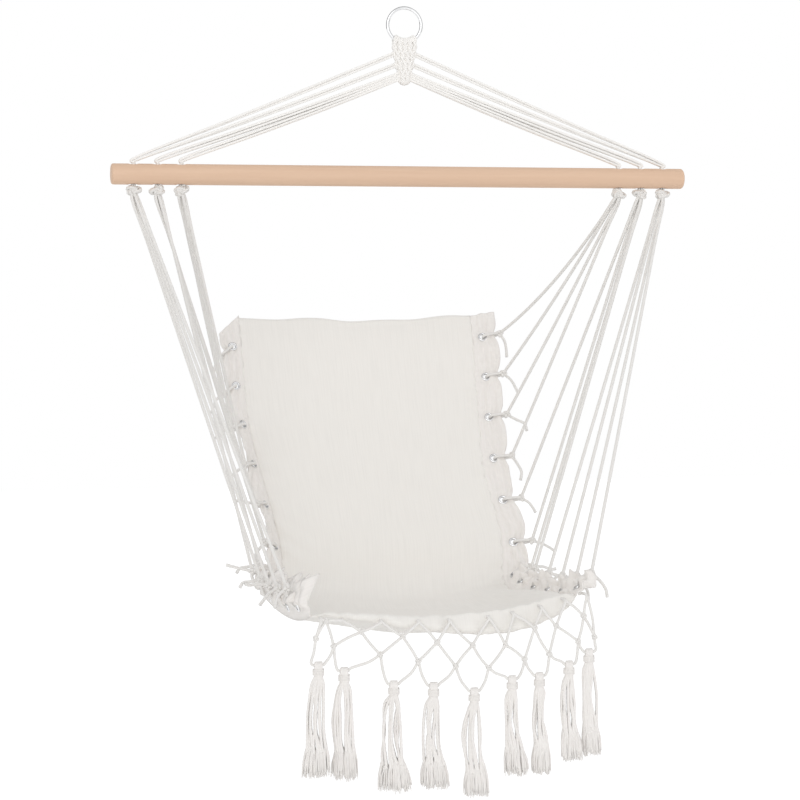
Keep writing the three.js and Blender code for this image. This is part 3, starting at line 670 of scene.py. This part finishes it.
def waves(seed, count, low, high):
    """A sum of slow waves, the same on every run: the soft unevenness of cloth."""
    chance = np.random.default_rng(seed)
    ranges = ((low, high), (0, TURN), (0, TURN))
    rows = [[chance.uniform(*ends) for ends in ranges] for _ in range(count)]

    def height(across, along):
        total = 0
        for long, turn, phase in rows:
            total = total + np.sin(TURN * (across * math.cos(turn) + along * math.sin(turn)) / long + phase)
        return total / math.sqrt(count)

    return height


PAD_COLUMNS = 84
PAD_ROWS = 210
PUFF_FRAMES = 20
PUFF_PRESSURE = 4
NET_HALF = 0.221
NET_ASIDE = -0.02
ATTACH_SHARES = (-0.96, -0.81, -0.53, -0.265, -0.04, 0.245, 0.425, 0.63, 0.805, 0.96)
even = np.linspace(-1, 1, PAD_COLUMNS + 1)
columns = np.sin(math.pi / 2 * even) * 0.35 + even * 0.65
runs = np.linspace(0, CLOTH_LONG - 0.03, PAD_ROWS - 19)
runs = np.concatenate([runs, CLOTH_LONG - 0.03 * np.cos(math.pi / 2 * np.linspace(0, 1, 21)[1:])])
across, down = np.meshgrid(columns, runs)
from_lip = CLOTH_LONG - down
end_far = np.minimum(down, from_lip)
from_end = np.clip(end_far / PAD_THICK, 0, 1)
rounded = np.sqrt(np.clip(1 - (1 - np.clip(end_far / PAD_END_ROUND, 0, 1)) ** 2, 0, 1))
middle_thick = PAD_END_THICK + (PAD_THICK - PAD_END_THICK) * from_end
side_round = np.sqrt(np.clip(1 - np.abs(across) ** 22, 0, 1))
thick = (middle_thick + (PAD_SEAM_THICK - middle_thick) * across**4) * side_round * np.maximum(rounded, 0.05)
soft = waves(4, 7, 0.09, 0.26)(across * PAD_HALF, down)
fine_soft = waves(9, 9, 0.03, 0.07)(across * PAD_HALF, down)
seam_near = np.exp(-(1 - np.abs(across)) * PAD_HALF / 0.016)
pucker = seam_near * np.sin(TURN * down / PUCKER_PITCH + 2.2 * np.sin(down * 37) + 1.5 * np.sign(across))
lip_near = np.exp(-from_lip / 0.02)
lip_fold = lip_near * np.sin(TURN * across * PAD_HALF / LIP_FOLD_PITCH + 1.7 * np.sin(across * 9))
sewn = (across * PAD_HALF)[..., None] - (NET_ASIDE - CLOTH_TOP[0] + SEAT_SLEW + NET_HALF * np.array(ATTACH_SHARES))
pulled = bell(sewn, 0.0055).sum(-1)
above_sewn = from_lip[..., None] + 0.004
far_sewn = np.hypot(sewn, above_sewn)
fan = np.cos(7 * np.arctan2(sewn, above_sewn)) * np.exp(-far_sewn / 0.019) * (1 - bell(far_sewn, 0.011))
lip_wave = 0.0018 * np.sin(across * 41 + 2 * np.sin(across * 7)) + 0.0012 * np.sin(across * 67 + 1)
lip_pull = np.exp(-from_lip / 0.013) * (lip_wave - 0.0022 * pulled)
bend_near = bell(down - BACK_RUN - 0.015, 0.045)
bend_turn = TURN * (down + 0.05 * np.abs(across) ** 2) / BEND_FOLD_PITCH
bend_fold = bend_near * np.sin(bend_turn) * (0.35 + 0.65 * across**2)
corner_near = bell(down - 0.46, 0.11) * np.clip(-across, 0, 1) ** 3
corner_fold = corner_near * np.sin(TURN * (down * 0.8 - across * 0.12) / 0.034)
uneven = 0.0011 * soft + 0.0003 * fine_soft + 0.0012 * pucker + 0.0009 * lip_fold + 0.0009 * bend_fold
uneven += 0.0016 * corner_fold
uneven += 0.0026 * fan.sum(-1)
full_edge = np.interp(down, FULL_EDGE_RUNS, FULL_EDGE_HEIGHTS)
full_edge *= bell(across - 0.88, np.where(across > 0.88, 0.07, 0.15))
top_wave = 0.0022 * np.sin(across * 5.2 + 0.6) + 0.0016 * np.sin(across * 11 + 2)
shifted = down + (np.exp(-down / 0.03) * top_wave + lip_pull) * (1 - across**8)
slack = PAD_SLACK * np.clip(from_end * 1.4, 0, 1) * np.clip((from_lip - 0.008) / 0.02, 0, 1) * (1 - across**6)
upper = cloth_place(shifted, across, thick / 2 - slack)
lower = cloth_place(shifted, across, -thick / 2 + slack)
skin = Skin()
skin.rings(np.concatenate([upper, lower[:, ::-1]], 1))
del skin.faces[-2:]
for column in range(PAD_COLUMNS):
    end = np.array([column, column + 1, 2 * PAD_COLUMNS - column, 2 * PAD_COLUMNS + 1 - column])
    skin.faces += [end[::-1].tolist(), (end + skin.count - 2 * PAD_COLUMNS - 2).tolist()]
pad = skin.piece("padded_seat", seat_cotton)


def two_faced(near, far):
    """Values for the pad's upper and lower skins, in the order of its mesh."""
    return np.concatenate([near, far[:, ::-1]], 1).reshape(-1, *near.shape[2:])


def blown_up(made, held, cap):
    """Fills a closed pad with air as a cloth held at its seams, and says how far it moved."""
    pins = made.vertex_groups.new(name="seams")
    for corner in np.flatnonzero(held):
        pins.add([int(corner)], 1.0, "REPLACE")
    puff = made.modifiers.new("puff", "CLOTH")
    puff.settings.quality = 5
    puff.settings.vertex_group_mass = "seams"
    puff.settings.use_pressure = True
    puff.settings.uniform_pressure_force = PUFF_PRESSURE
    puff.settings.effector_weights.gravity = 0
    puff.point_cache.frame_end = PUFF_FRAMES
    for step in range(1, PUFF_FRAMES + 1):
        scene.frame_set(step)
    swollen = made.evaluated_get(bpy.context.evaluated_depsgraph_get())
    grown = np.empty(3 * len(made.data.vertices), np.float32)
    still = np.empty_like(grown)
    swollen.data.vertices.foreach_get("co", grown)
    made.data.vertices.foreach_get("co", still)
    made.modifiers.clear()
    made.vertex_groups.clear()
    scene.frame_set(1)
    moved = (grown - still).reshape(-1, 3).astype(float)
    far = np.linalg.norm(moved, axis=1, keepdims=True)
    return moved * np.minimum(1, cap[:, None] / np.maximum(far, 1e-9))


places = two_faced(upper, lower)
face_ways = two_faced(facing(shifted), facing(shifted))
held = (np.abs(two_faced(across, across)) > 0.965) | (two_faced(from_end, from_end) < 0.3)
places += blown_up(pad, held, two_faced(slack, slack) * 1.3)
end_near = np.exp(-end_far / 0.008)
places += face_ways * two_faced(uneven + full_edge, uneven * (0.6 + 0.4 * end_near))[:, None]
hang = np.interp(across, FRONT_HANG_SHARES, np.array(FRONT_HANG_MM) / 1000)
flatter = np.interp(across, *FRONT_FLATTER) * (1 - eased(from_lip, 0.12, 0.35)) * eased(from_lip, 0.0, 0.03)
upper_hang = hang * np.clip(1 - from_lip / 0.012, 0, 1)
places[:, 2] -= two_faced(upper_hang, hang * (1 - eased(from_lip, 0.01, 0.1)) - flatter)
pad.data.vertices.foreach_set("co", places.astype(np.float32).ravel())


def lay_cloth(made, across, down):
    """Keeps how far each corner of the mesh lies across and down the cloth, for its weave."""
    spots = np.stack([across, down], -1).reshape(-1, 2)
    corners = np.empty(len(made.data.loops), np.int32)
    made.data.loops.foreach_get("vertex_index", corners)
    made.data.uv_layers.new(name="cloth").data.foreach_set("uv", spots[corners].astype(np.float32).ravel())


lay_cloth(pad, np.concatenate([across, across[:, ::-1]], 1) * PAD_HALF, np.concatenate([down, down], 1))
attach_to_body(pad, "seat")
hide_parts("seat_pad")


# Side hems: the unpadded edge of the same cloth, doubled over. It carries twelve eyelets a side,
# and the cords gather it into puckers and folds, most of all beside the seat.
HEM_WIDE = 0.046
HEM_THICK = 0.003
HEM_COLUMNS = 22
HEM_ROWS = 440
HEM_DROOPS = {-1: 0.044, 1: -0.009}
TOP_HEM_TILT = 8
BACK_HEM_TILTS = {-1: 50, 1: 8}
SEAT_HEM_TILTS = {-1: 62, 1: 42}
EYELETS = 12
EYELET_INSET = 0.018
EYELET_FLAT = 0.013
EYELET_DISTANCES = np.linspace(0.05, CLOTH_LONG - 0.042, EYELETS)
HEM_HOLE = 0.0062
HEM_DOUBLED = 0.0022
FRILL_PITCH = 0.0293
PLEAT_PITCH = 0.0175
FOLD_PITCH = 0.0125

hem_cotton = woven_cloth("hem_cotton", (236, 232, 228), (231, 227, 222), 0.00018)


def unit(ways):
    """The same ways, each of length 1."""
    return ways / np.linalg.norm(ways, axis=-1, keepdims=True)


def hem_frame(side, distance):
    """How the hem lies at its seam: the seam, the way out from it and the way up off its face."""
    distance = np.asarray(distance, float)
    above = cloth_place(distance - EYELET_FLAT, side, 0)
    below = cloth_place(distance + EYELET_FLAT, side, 0)
    along = unit(below - above)
    face = facing(distance)
    back_tilt = TOP_HEM_TILT + (BACK_HEM_TILTS[side] - TOP_HEM_TILT) * eased(distance, 0.09, 0.27)
    tilt = np.radians(back_tilt + (SEAT_HEM_TILTS[side] - back_tilt) * seat_share(distance))[..., None]
    outward = np.cos(tilt) * at(side, 0, 0) + np.sin(tilt) * face
    droop = HEM_DROOPS[side] / HEM_WIDE * np.clip(1 - distance / BACK_RUN, 0, None)
    outward = unit(outward + along * droop[..., None])
    proud = unit(np.cross(outward, along))
    proud = proud * np.sign((proud * face).sum(-1))[..., None]
    away = unit(np.cross(face, along))
    gap = (0.0003 + HEM_THICK / 2 * np.abs((proud * away).sum(-1))) / np.abs((outward * away).sum(-1))
    gap = gap[..., None]
    return (above + below) / 2, outward, proud, gap


def hem_place(side, eyelet, out, lift):
    """A place by an eyelet: out from the seam across the hem, and up off its middle."""
    seam, outward, proud, gap = hem_frame(side, EYELET_DISTANCES[eyelet])
    return seam + outward * (gap + out) + proud * lift


for side_name, side in SIDES.items():
    shares, downs = np.meshgrid(np.linspace(0, 1, HEM_COLUMNS + 1), np.linspace(0, CLOTH_LONG, HEM_ROWS + 1))
    seam = cloth_place(downs, side, 0)
    _, outward, proud, gap = hem_frame(side, downs)
    near = bell(downs[..., None] - EYELET_DISTANCES, 0.015).sum(-1)
    between = np.argmin(np.abs(downs[..., None] - EYELET_DISTANCES), -1)
    from_eyelet = downs - EYELET_DISTANCES[between]
    pitch = EYELET_DISTANCES[1] - EYELET_DISTANCES[0]
    ruffle_turn = (downs - EYELET_DISTANCES[0]) / pitch
    ruffle = np.sin(math.pi * ruffle_turn) * (1 - near) * shares**1.3 * 0.0065
    seatward = seat_share(downs)
    waver = 0.3 * np.sin(downs * 31 + side) + 0.15 * np.sin(downs * 83)
    crease = np.sin(TURN * (shares * 2.3 + waver)) * np.clip(shares * 4, 0, 1) * (0.0019 + 0.0008 * seatward)
    frill = np.sin(TURN * (downs + 0.004 * np.sin(downs * 57)) / FRILL_PITCH) * np.clip(shares * 1.4 - 0.2, 0, 1)
    frill = seatward * frill * (0.007 if side < 0 else 0.01)
    bunched = np.interp(downs, (0.6, 0.72, 0.86, 1.0), (0, 0.7, 1, 0.8)) * (side < 0)
    pleat = np.abs(np.sin(math.pi * (downs + 0.003 * np.sin(downs * 71)) / PLEAT_PITCH + shares)) ** 0.8 * 2 - 1
    tuck = 0.003 + 0.012 * (side < 0) + 0.011 * bunched
    tucked = np.clip((shares - 0.5) / 0.5, 0, 1) ** 1.4 * (1 - near) * seatward * tuck
    crumple = waves(21 + side, 9, 0.012, 0.04)(shares * HEM_WIDE, downs)
    folds = np.sin(TURN * (downs + 0.006 * shares) / FOLD_PITCH + 3 * np.sin(downs * 61 + side))
    gathers = np.sin(from_eyelet * (1.2 - shares) / 0.0021 + side) * bell(from_eyelet, 0.024)
    flat_near = bell(from_eyelet, 0.0105) * bell(shares * HEM_WIDE - EYELET_INSET, 0.0105)
    lift = ruffle + (0.0011 + 0.0026 * seatward) * crumple * (0.3 + 0.7 * shares)
    lift += (0.0004 + 0.0009 * seatward) * folds * shares + 0.0011 * gathers * (1 - shares * 0.4)
    pleated = 0.0105 * pleat * bunched * np.clip(shares * 1.5 - 0.3, 0, 1)
    lift += crease + frill * (1 - 0.6 * bunched) + tucked + pleated
    lift *= 1 - 0.92 * flat_near
    lift *= np.clip(shares * 6, 0, 1)
    narrower = 0.0045 if side > 0 else 0.001
    wide = HEM_WIDE - 0.0065 * near + 0.0012 * (1 - near) - narrower * eased(downs, 0.2, 0.4)
    wide += 0.014 * (1 - near) * bunched * (1 - 0.7 * eased(downs, 0.965, 1.0))
    out = gap[..., 0] + shares * wide - 0.006 * np.clip(1 - shares * HEM_COLUMNS, 0, 1)
    folded = (np.clip((downs - 0.966) / 0.034, 0, 1) ** 1.5 * (0.4 if side < 0 else 0.1))[..., None]
    middle = seam + (outward * np.cos(folded) + proud * np.sin(folded)) * out[..., None] + proud * lift[..., None]
    skin = Skin()
    skin.places.append(middle.reshape(-1, 3))
    wide_count = HEM_COLUMNS + 1
    row, column = np.meshgrid(np.arange(HEM_ROWS) * wide_count, np.arange(HEM_COLUMNS), indexing="ij")
    corner = (row + column).ravel()
    faces = np.stack([corner, corner + 1, corner + 1 + wide_count, corner + wide_count], 1)
    centres = middle.reshape(-1, 3)[faces].mean(1)
    keep = np.ones(len(faces), bool)
    for eyelet in range(EYELETS):
        keep &= np.linalg.norm(centres - hem_place(side, eyelet, EYELET_INSET, 0), axis=1) > HEM_HOLE
    skin.faces = faces[keep].tolist()
    hem = skin.piece(f"{side_name}_hem_cloth", hem_cotton)
    lay_cloth(hem, shares * HEM_WIDE, downs)
    doubled = hem.modifiers.new("doubled", "SOLIDIFY")
    doubled.thickness = HEM_DOUBLED
    doubled.offset = 0
    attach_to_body(hem, "seat")
    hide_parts(f"{side_name}_hem")


# Eyelets: two rolled rings of thin plated metal, pressed together through the doubled hem, so
# that the cords don't tear it.
EYELET_BORE = 0.005
EYELET_HALF = 0.0085
EYELET_ROLL = 0.0016

rim = (EYELET_BORE + EYELET_HALF) / 2
rim_half = (EYELET_HALF - EYELET_BORE) / 2
rolled = [
    (HEM_THICK / 2 + 0.0003 + EYELET_ROLL * math.sin(angle), rim - rim_half * math.cos(angle))
    for angle in math.pi * np.arange(13) / 12
]
barrel = rolled + [(-height, radius) for height, radius in reversed(rolled)]
for side_name, side in SIDES.items():
    for eyelet in range(EYELETS):
        _, outward, proud, _ = hem_frame(side, EYELET_DISTANCES[eyelet])
        basis = np.stack([proud, outward, np.cross(proud, outward)], 1)
        centre = hem_place(side, eyelet, EYELET_INSET, 0)
        rings = []
        for angle in angles(36):
            section = [(height, radius * math.cos(angle), radius * math.sin(angle)) for height, radius in barrel]
            rings.append(np.array(section) @ basis.T + centre)
        skin = Skin()
        skin.rings(np.array(rings)[:, ::-1], closed=True)
        eye = skin.piece(f"{side_name}_rolled_eyelet_{eyelet + 1}", polished_steel)
        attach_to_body(eye, "seat")
        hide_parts(f"{side_name}_eyelet_{eyelet + 1}")


# Lower cords: under each hole the four cords are tied in one overhand knot, which keeps them
# from slipping back. Each goes to its own eyelet, through it and round the hem, and is knotted.
LOWER_CORD = 0.0028
KNOT_HEIGHT = -0.3093
BAR_KNOT_HALF = (0.014, 0.009)
EDGE_KNOT = 0.0065
TAIL_LONG = 0.046
TAIL_SHARES = {
    "left": [
        (0.2, 0.3, -0.9), (0.5, 0.3, -0.7), (0.75, 0.35, -0.35), (0.6, 0.5, -0.6),
        (0.85, 0.3, 0.1), (0.4, 0.6, -0.7), (0.9, 0.2, -0.3), (0.95, -0.1, 0.25),
        (0.8, 0.3, -0.25), (0.9, 0.3, 0.1), (0.7, 0.4, -0.5), (0.5, 0.5, -0.6),
    ],
    "right": [
        (0.25, 0.2, -0.95), (0.55, 0.3, -0.8), (0.75, 0.3, -0.65), (0.3, 0.2, -0.95),
        (0.5, 0.3, -0.55), (0.9, 0.2, -0.45), (0.95, 0.1, -0.1), (0.5, 0.5, -0.6),
        (0.8, 0.4, -0.3), (0.6, 0.2, -0.7), (0.3, 0.4, -0.85), (0.45, 0.4, -0.8),
    ],
}
SLACK_SHARES = (0.05, 0.02, 0.012, 0.003, 0, 0, 0.002, 0, 0, 0, 0, 0)

# A darker copy of the cord cotton for the lower cords, their ends and the net: painted shade, as these cords hang
# lower in less light.
shade_darkened_cotton = cotton("shade_darkened_cotton", (232, 230, 227), (223, 220, 216), 0.00006, 0.1)


def overhand(centre, half, turn, tilt):
    """The closed line of an overhand knot, drawn tight inside a box of half sizes."""
    angle = angles(28)
    wide, high = np.sin(angle) + 2 * np.sin(2 * angle), np.cos(angle) - 2 * np.cos(2 * angle)
    knot = np.stack([wide, -np.sin(3 * angle), high], 1)
    knot /= at(2.8, 1, 2.8)
    spin = np.array(Matrix.Rotation(turn, 3, "Y"))
    lean = np.array(Matrix.Rotation(tilt, 3, "Y"))
    return ((knot @ spin.T) * half) @ lean.T + centre


def knotted(skin, centre, half, inner, turns, radius, tilts=(0.0, 0.0), pitch=0.016):
    """A knot drawn tight, filled by a smaller one, so that nothing shows through its middle."""
    for size, turn, tilt in zip((half, half * inner), turns, tilts):
        rope(skin, overhand(centre, size, turn, tilt), radius, closed=True, pitch=pitch)


for side_name, side in SIDES.items():
    for hole, hole_name in enumerate(HOLE_NAMES):
        knot_place = at(side * HOLE_PLACES[hole], 0, KNOT_HEIGHT)
        skin = Skin()
        wide, high = BAR_KNOT_HALF
        inner_half = at(wide - LOWER_CORD, high - 2 * LOWER_CORD, high - LOWER_CORD)
        for nudge, turn in ((-1, 0.3), (1, 0.75)):
            centre = knot_place + at(0, nudge * LOWER_CORD * 0.8, 0)
            tilts = (side * (0.35 - 0.15 * hole), side * 0.3)
            knotted(skin, centre, inner_half, 0.62, (turn + hole, turn + hole + 1.4), LOWER_CORD, tilts)
        plug = [knot_place + at(0, 0, 0.0105), knot_place + at(0, 0, 0.003)]
        for corner in range(4):
            aside = at((corner % 2 - 0.5) * LOOSE_PITCH, (corner // 2 - 0.5) * LOOSE_PITCH, 0) * 0.9
            rope(skin, [place + aside for place in plug])
        for strand in range(4):
            eyelet = hole * 4 + strand
            chance = np.random.default_rng(100 * (side + 2) + eyelet)

            def on_hem(out, lift):
                return hem_place(side, eyelet, out, lift)

            tied = on_hem(HEM_WIDE + EDGE_KNOT - 0.001, 0)
            slack = np.linalg.norm(tied - knot_place) * SLACK_SHARES[eyelet]
            aside = at((strand - 1.5) * 0.0028, (strand % 2 - 0.5) * 0.004, -0.005)
            points = [knot_place + aside * 0.3, knot_place + aside * 1.3 + (tied - knot_place) * 0.02]
            for share in np.linspace(0.12, 1, 7):
                drop = at(0, 0, -4 * slack * share * (1 - share))
                points.append(knot_place + aside * (1 - share) + (tied - knot_place) * share + drop)
            rope(skin, points, LOWER_CORD)
            over = HEM_THICK / 2 + 0.0021 + LOWER_CORD
            inside = EYELET_INSET + EYELET_BORE - LOWER_CORD - 0.0003
            edge = HEM_WIDE - 0.003 + LOWER_CORD
            bind = [
                on_hem(edge, HEM_THICK / 2 + LOWER_CORD), on_hem((edge + inside) / 2 + 0.002, over),
                on_hem(inside + 0.0035, over + 0.0005), on_hem(inside, over * 0.45),
                on_hem(inside, -over * 0.45), on_hem(inside + 0.0035, -over - 0.0005),
                on_hem((edge + inside) / 2 + 0.002, -over), on_hem(edge, -HEM_THICK / 2 - LOWER_CORD),
                on_hem(edge + 0.0035, 0),
            ]
            rope(skin, bind, LOWER_CORD * 0.92, closed=True)
            small = np.full(3, EDGE_KNOT + 0.0008 - LOWER_CORD)
            knotted(skin, tied, small, 0.45, [chance.uniform(0, 6) for _ in range(2)], LOWER_CORD)
            out, forward, up = TAIL_SHARES[side_name][eyelet]
            reach = at(side * out, -forward, up) * TAIL_LONG
            bow = at(side, 0, 0.2) * TAIL_LONG * 0.13
            curl = np.cross(unit(reach), [0, 1, 0]) * TAIL_LONG * chance.uniform(-0.1, 0.1)
            bends = [tied + reach * 0.35 + bow * 0.8, tied + reach * 0.7 + bow * 0.7 + curl]
            line = route([tied, *bends, tied + reach], LOWER_CORD)
            tail_skin = Skin()
            rope(tail_skin, line, LOWER_CORD * 0.92, swell=(1, 1, 1, 1, 1, 1, 1.05, 1.1))
            tail = tail_skin.piece(f"{side_name}_cord_end_{eyelet + 1}", shade_darkened_cotton)
            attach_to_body(tail, "seat")
            long = float(np.linalg.norm(np.diff(line, axis=0), axis=1).sum())
        cords = skin.piece(f"{side_name}_{hole_name}_lower_ropes", shade_darkened_cotton)
        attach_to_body(cords, "seat")
        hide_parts(f"{side_name}_{hole_name}_lower_cords")


# Front net: thinner cotton cord, knotted by hand into two rows of diamonds and sewn through the
# front edge of the cloth. Its lowest cords meet in pairs at the tassels.
NET_CORD = 0.0022
NET_PITCH = 0.011
NET_KNOT = 0.00425
NET_DEEP = 0.158
FIRST_ROW_SHARES = (
    (-0.927, 0.24), (-0.677, 0.36), (-0.382, 0.42), (-0.132, 0.49), (0.123, 0.53),
    (0.364, 0.54), (0.577, 0.38), (0.736, 0.37), (0.94, 0.28),
)
SECOND_ROW_SHARES = (
    (-1, 0.41), (-0.873, 0.49), (-0.541, 0.59), (-0.268, 0.67), (0, 0.73),
    (0.241, 0.76), (0.505, 0.69), (0.686, 0.65), (0.9, 0.53), (1.02, 0.49),
)
TASSEL_SHARES = (
    (-0.982, 0.67, 1, 0.95, -0.2), (-0.8, 0.735, 0.98, 0.9, 0.05), (-0.445, 0.885, 0.97, 1.1, 0.1),
    (-0.159, 0.915, 0.94, 0.95, 0.1), (0.136, 0.985, 0.96, 0.9, 0.1), (0.414, 0.88, 0.885, 0.82, 0.4),
    (0.614, 0.86, 0.9, 0.64, 0.3), (0.832, 0.755, 0.89, 0.76, 0.3), (0.98, 0.64, 0.95, 0.64, 0.4),
)

lip = cloth_place(CLOTH_LONG, 0, 0)
net_front = lip[1] - PAD_END_THICK / 2 * facing(CLOTH_LONG)[1] - 0.002
net_top = cloth_place(CLOTH_LONG, 1, 0)[2] + 0.01


def net_place(shares):
    """A place in the net, from its shares across and down."""
    return at(NET_ASIDE + NET_HALF * shares[0], net_front, net_top - NET_DEEP * shares[1])


def attach_place(share, lift):
    """Where a cord of the net is sewn through the cloth, just above its front edge."""
    x = NET_ASIDE + NET_HALF * share
    middle = cloth_place(CLOTH_LONG, 0, 0)[0]
    edge = cloth_place(CLOTH_LONG, np.sign(x - middle), 0)[0]
    place = cloth_place(CLOTH_LONG - 0.009, np.clip((x - middle) / abs(edge - middle), -1, 1), lift)
    place[0] = x
    return place


skin = Skin()
attach = [attach_place(share, 0.001) for share in ATTACH_SHARES]
mouths = [at(place[0], net_front, attach_place(share, 0)[2]) for place, share in zip(attach, ATTACH_SHARES)]
first = [net_place(shares) for shares in FIRST_ROW_SHARES]
second = [net_place(shares) for shares in SECOND_ROW_SHARES]
net_chance = np.random.default_rng(7)


def net_strand(start, end, sway=0.04, before=()):
    """A cord of the net from knot to knot, bowed a little by chance."""
    run = end - start
    bow = at(run[2], 0, -run[0]) * net_chance.uniform(-sway, sway)
    rope(skin, [*before, start, (start + end) / 2 + bow, end], NET_CORD, pitch=NET_PITCH)


for mesh, place in enumerate(first):
    for beside in (mesh, mesh + 1):
        net_strand(mouths[beside], place, before=[attach[beside]])
        net_strand(place, second[beside])
net_strand(mouths[0], second[0], before=[attach[0]])
net_strand(mouths[-1], second[-1], before=[attach[-1]])
for tassel, shares in enumerate(TASSEL_SHARES):
    top = net_place(shares)
    left_above, right_above = second[tassel], second[tassel + 1]
    drape = []
    for above, end in ((left_above, -1), (right_above, 1)):
        corner = top + at(end * 0.0065, 0, 0)
        shoulder = top + at(end * 0.0115, 0, 0.0042)
        bow = above * 0.42 + shoulder * 0.58 + at((above[0] - shoulder[0]) * 0.17, 0, 0)
        drape.append([above, bow, shoulder, corner])
    rope(skin, [*drape[0], *reversed(drape[1])], NET_CORD, pitch=NET_PITCH)
for place in [*first, *second]:
    half = np.full(3, NET_KNOT - NET_CORD * 0.6)
    turns = [net_chance.uniform(0, 6) for _ in range(2)]
    knotted(skin, place, half, 0.4, turns, NET_CORD, pitch=NET_PITCH)
net = skin.piece("knotted_net", shade_darkened_cotton)
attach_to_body(net, "seat")
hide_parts("front_net")


# Tassels: a hank of soft two-ply yarn laid over the net's cord, bound with a wrapping of the same
# yarn under its fold and cut off below. The cut ends have worked loose and are frayed.
TASSEL_LONG = 0.172
TASSEL_HEAD = 0.0078
TASSEL_HEAD_LONG = 0.017
TASSEL_FLARE = 0.023
TASSEL_DEPTH_SHARE = 0.45
YARN = 0.0022
YARN_PAIRS = 8
YARN_FALLS = (0.12, 0.3, 0.5, 0.7, 0.86, 1.0)
YARN_REACH = ([0, 0.12, 0.3, 0.5, 0.7, 1], [0.36, 0.45, 0.53, 0.6, 0.67, 0.78])
FRAY_LONG = 0.04
FRAY_FIBRES = 15
FIBRE = 0.0012
BAND_YARN = 0.00125
BAND_TOP = 0.0062
BAND_LONG = 0.0092

tassel_cotton = cotton("tassel_cotton", (237, 234, 231), (229, 225, 221), 0.00008, 0.12)

to_viewer = np.array(Matrix.Rotation(math.radians(-13), 3, "Z"))
for tassel, (across_share, down_share, long_share, flare_share, aside_share) in enumerate(TASSEL_SHARES):
    top = net_place((across_share, down_share))
    long = TASSEL_LONG * long_share
    flare = TASSEL_FLARE * flare_share
    chance = np.random.default_rng(40 + tassel)
    skin = Skin()
    loose_order = chance.permutation(YARN_PAIRS)
    for pair, over in [(pair, over) for pair in range(YARN_PAIRS) for over in (-1, 1)]:
        if over < 0:
            spread = (pair + 0.5) / YARN_PAIRS * 2 - 1 + chance.uniform(-0.05, 0.05)
            ring_share = chance.uniform(0.88, 1)
            loose = 1.9 if loose_order[pair] < 2 else 0.8
            sway = at(chance.uniform(-1, 1), chance.uniform(-0.4, 0.4), 0) * flare * 0.2 * loose
            curl = at(chance.uniform(-1, 1), 0, 0) * 0.0022
            skirt = long - FRAY_LONG - TASSEL_HEAD_LONG + chance.uniform(-0.006, 0.005)
        deep = over * math.sqrt(1 - min(abs(spread), 0.97) ** 2)
        away = at(spread, deep * TASSEL_DEPTH_SHARE, 0) * ring_share @ to_viewer.T
        tight = at(spread, deep * 0.75, 0) * (TASSEL_HEAD - YARN) * ring_share @ to_viewer.T
        lean = at(flare * aside_share, 0, 0)
        fold = top + at(tight[0] * 0.9, 0, 0)
        points = [
            fold + at(0, 0, NET_CORD + YARN * 0.8),
            fold + at(0, over * (NET_CORD + YARN) * 0.8, NET_CORD * 0.2),
            top + tight - at(0, 0, TASSEL_HEAD_LONG * 0.45),
            top + tight - at(0, 0, TASSEL_HEAD_LONG),
        ]
        for share in YARN_FALLS:
            reach = np.interp(share, *YARN_REACH)
            wave = curl * math.sin(share * 9 + pair) + at(-0.14 * flare * math.sin(share * math.pi), 0, 0)
            belly = sway * math.sin(share * math.pi) ** 1.3
            fall = TASSEL_HEAD_LONG + skirt * share
            hung = top + away * flare * reach + lean * (share * 0.8) ** 1.5 + belly + wave
            points.append(hung + tight * (1 - share) * 0.4 - at(0, 0, fall))
        line = rope(skin, points, YARN, pitch=0.014, strands=2, swell=(1, 1, 1, 1, 1, 1, 1, 1.1, 1.25))
        root, heading = line[-1], unit(line[-1] - line[-4])
        foot = top + away * flare * 0.93 + lean - at(0, 0, long - chance.uniform(0, 0.006))
        for _ in range(FRAY_FIBRES):
            turn = chance.uniform(0, TURN)
            far = math.sqrt(chance.uniform(0, 1))
            out = at(math.cos(turn), math.sin(turn) * TASSEL_DEPTH_SHARE, 0) * far
            start = root + out * YARN - heading * 0.006
            tip = foot + out * flare * 0.27 + at(0, 0, chance.uniform(-0.003, 0.01))
            belly = (start + tip) / 2 + out * 0.0016 + chance.uniform(-1, 1, 3) * 0.0007
            fibre = [start, start * 0.7 + tip * 0.3 + out * 0.0012, belly, tip]
            tube(skin, fibre, FIBRE, 0.0045, 5, swell=(1, 1, 0.9, 0.45))
    band = []
    radius = TASSEL_HEAD + 0.0002
    for step in range(50):
        angle = TURN * step / 12
        height = -BAND_TOP - BAND_LONG * step / 49
        band.append(top + at(math.cos(angle) * radius, math.sin(angle) * radius * 0.8, height))
    rope(skin, band, BAND_YARN, pitch=0.009, strands=2)
    hank = skin.piece(f"yarn_tassel_{tassel + 1}", tassel_cotton)
    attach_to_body(hank, f"tassel_{tassel + 1}")
    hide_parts(f"tassel_{tassel + 1}")
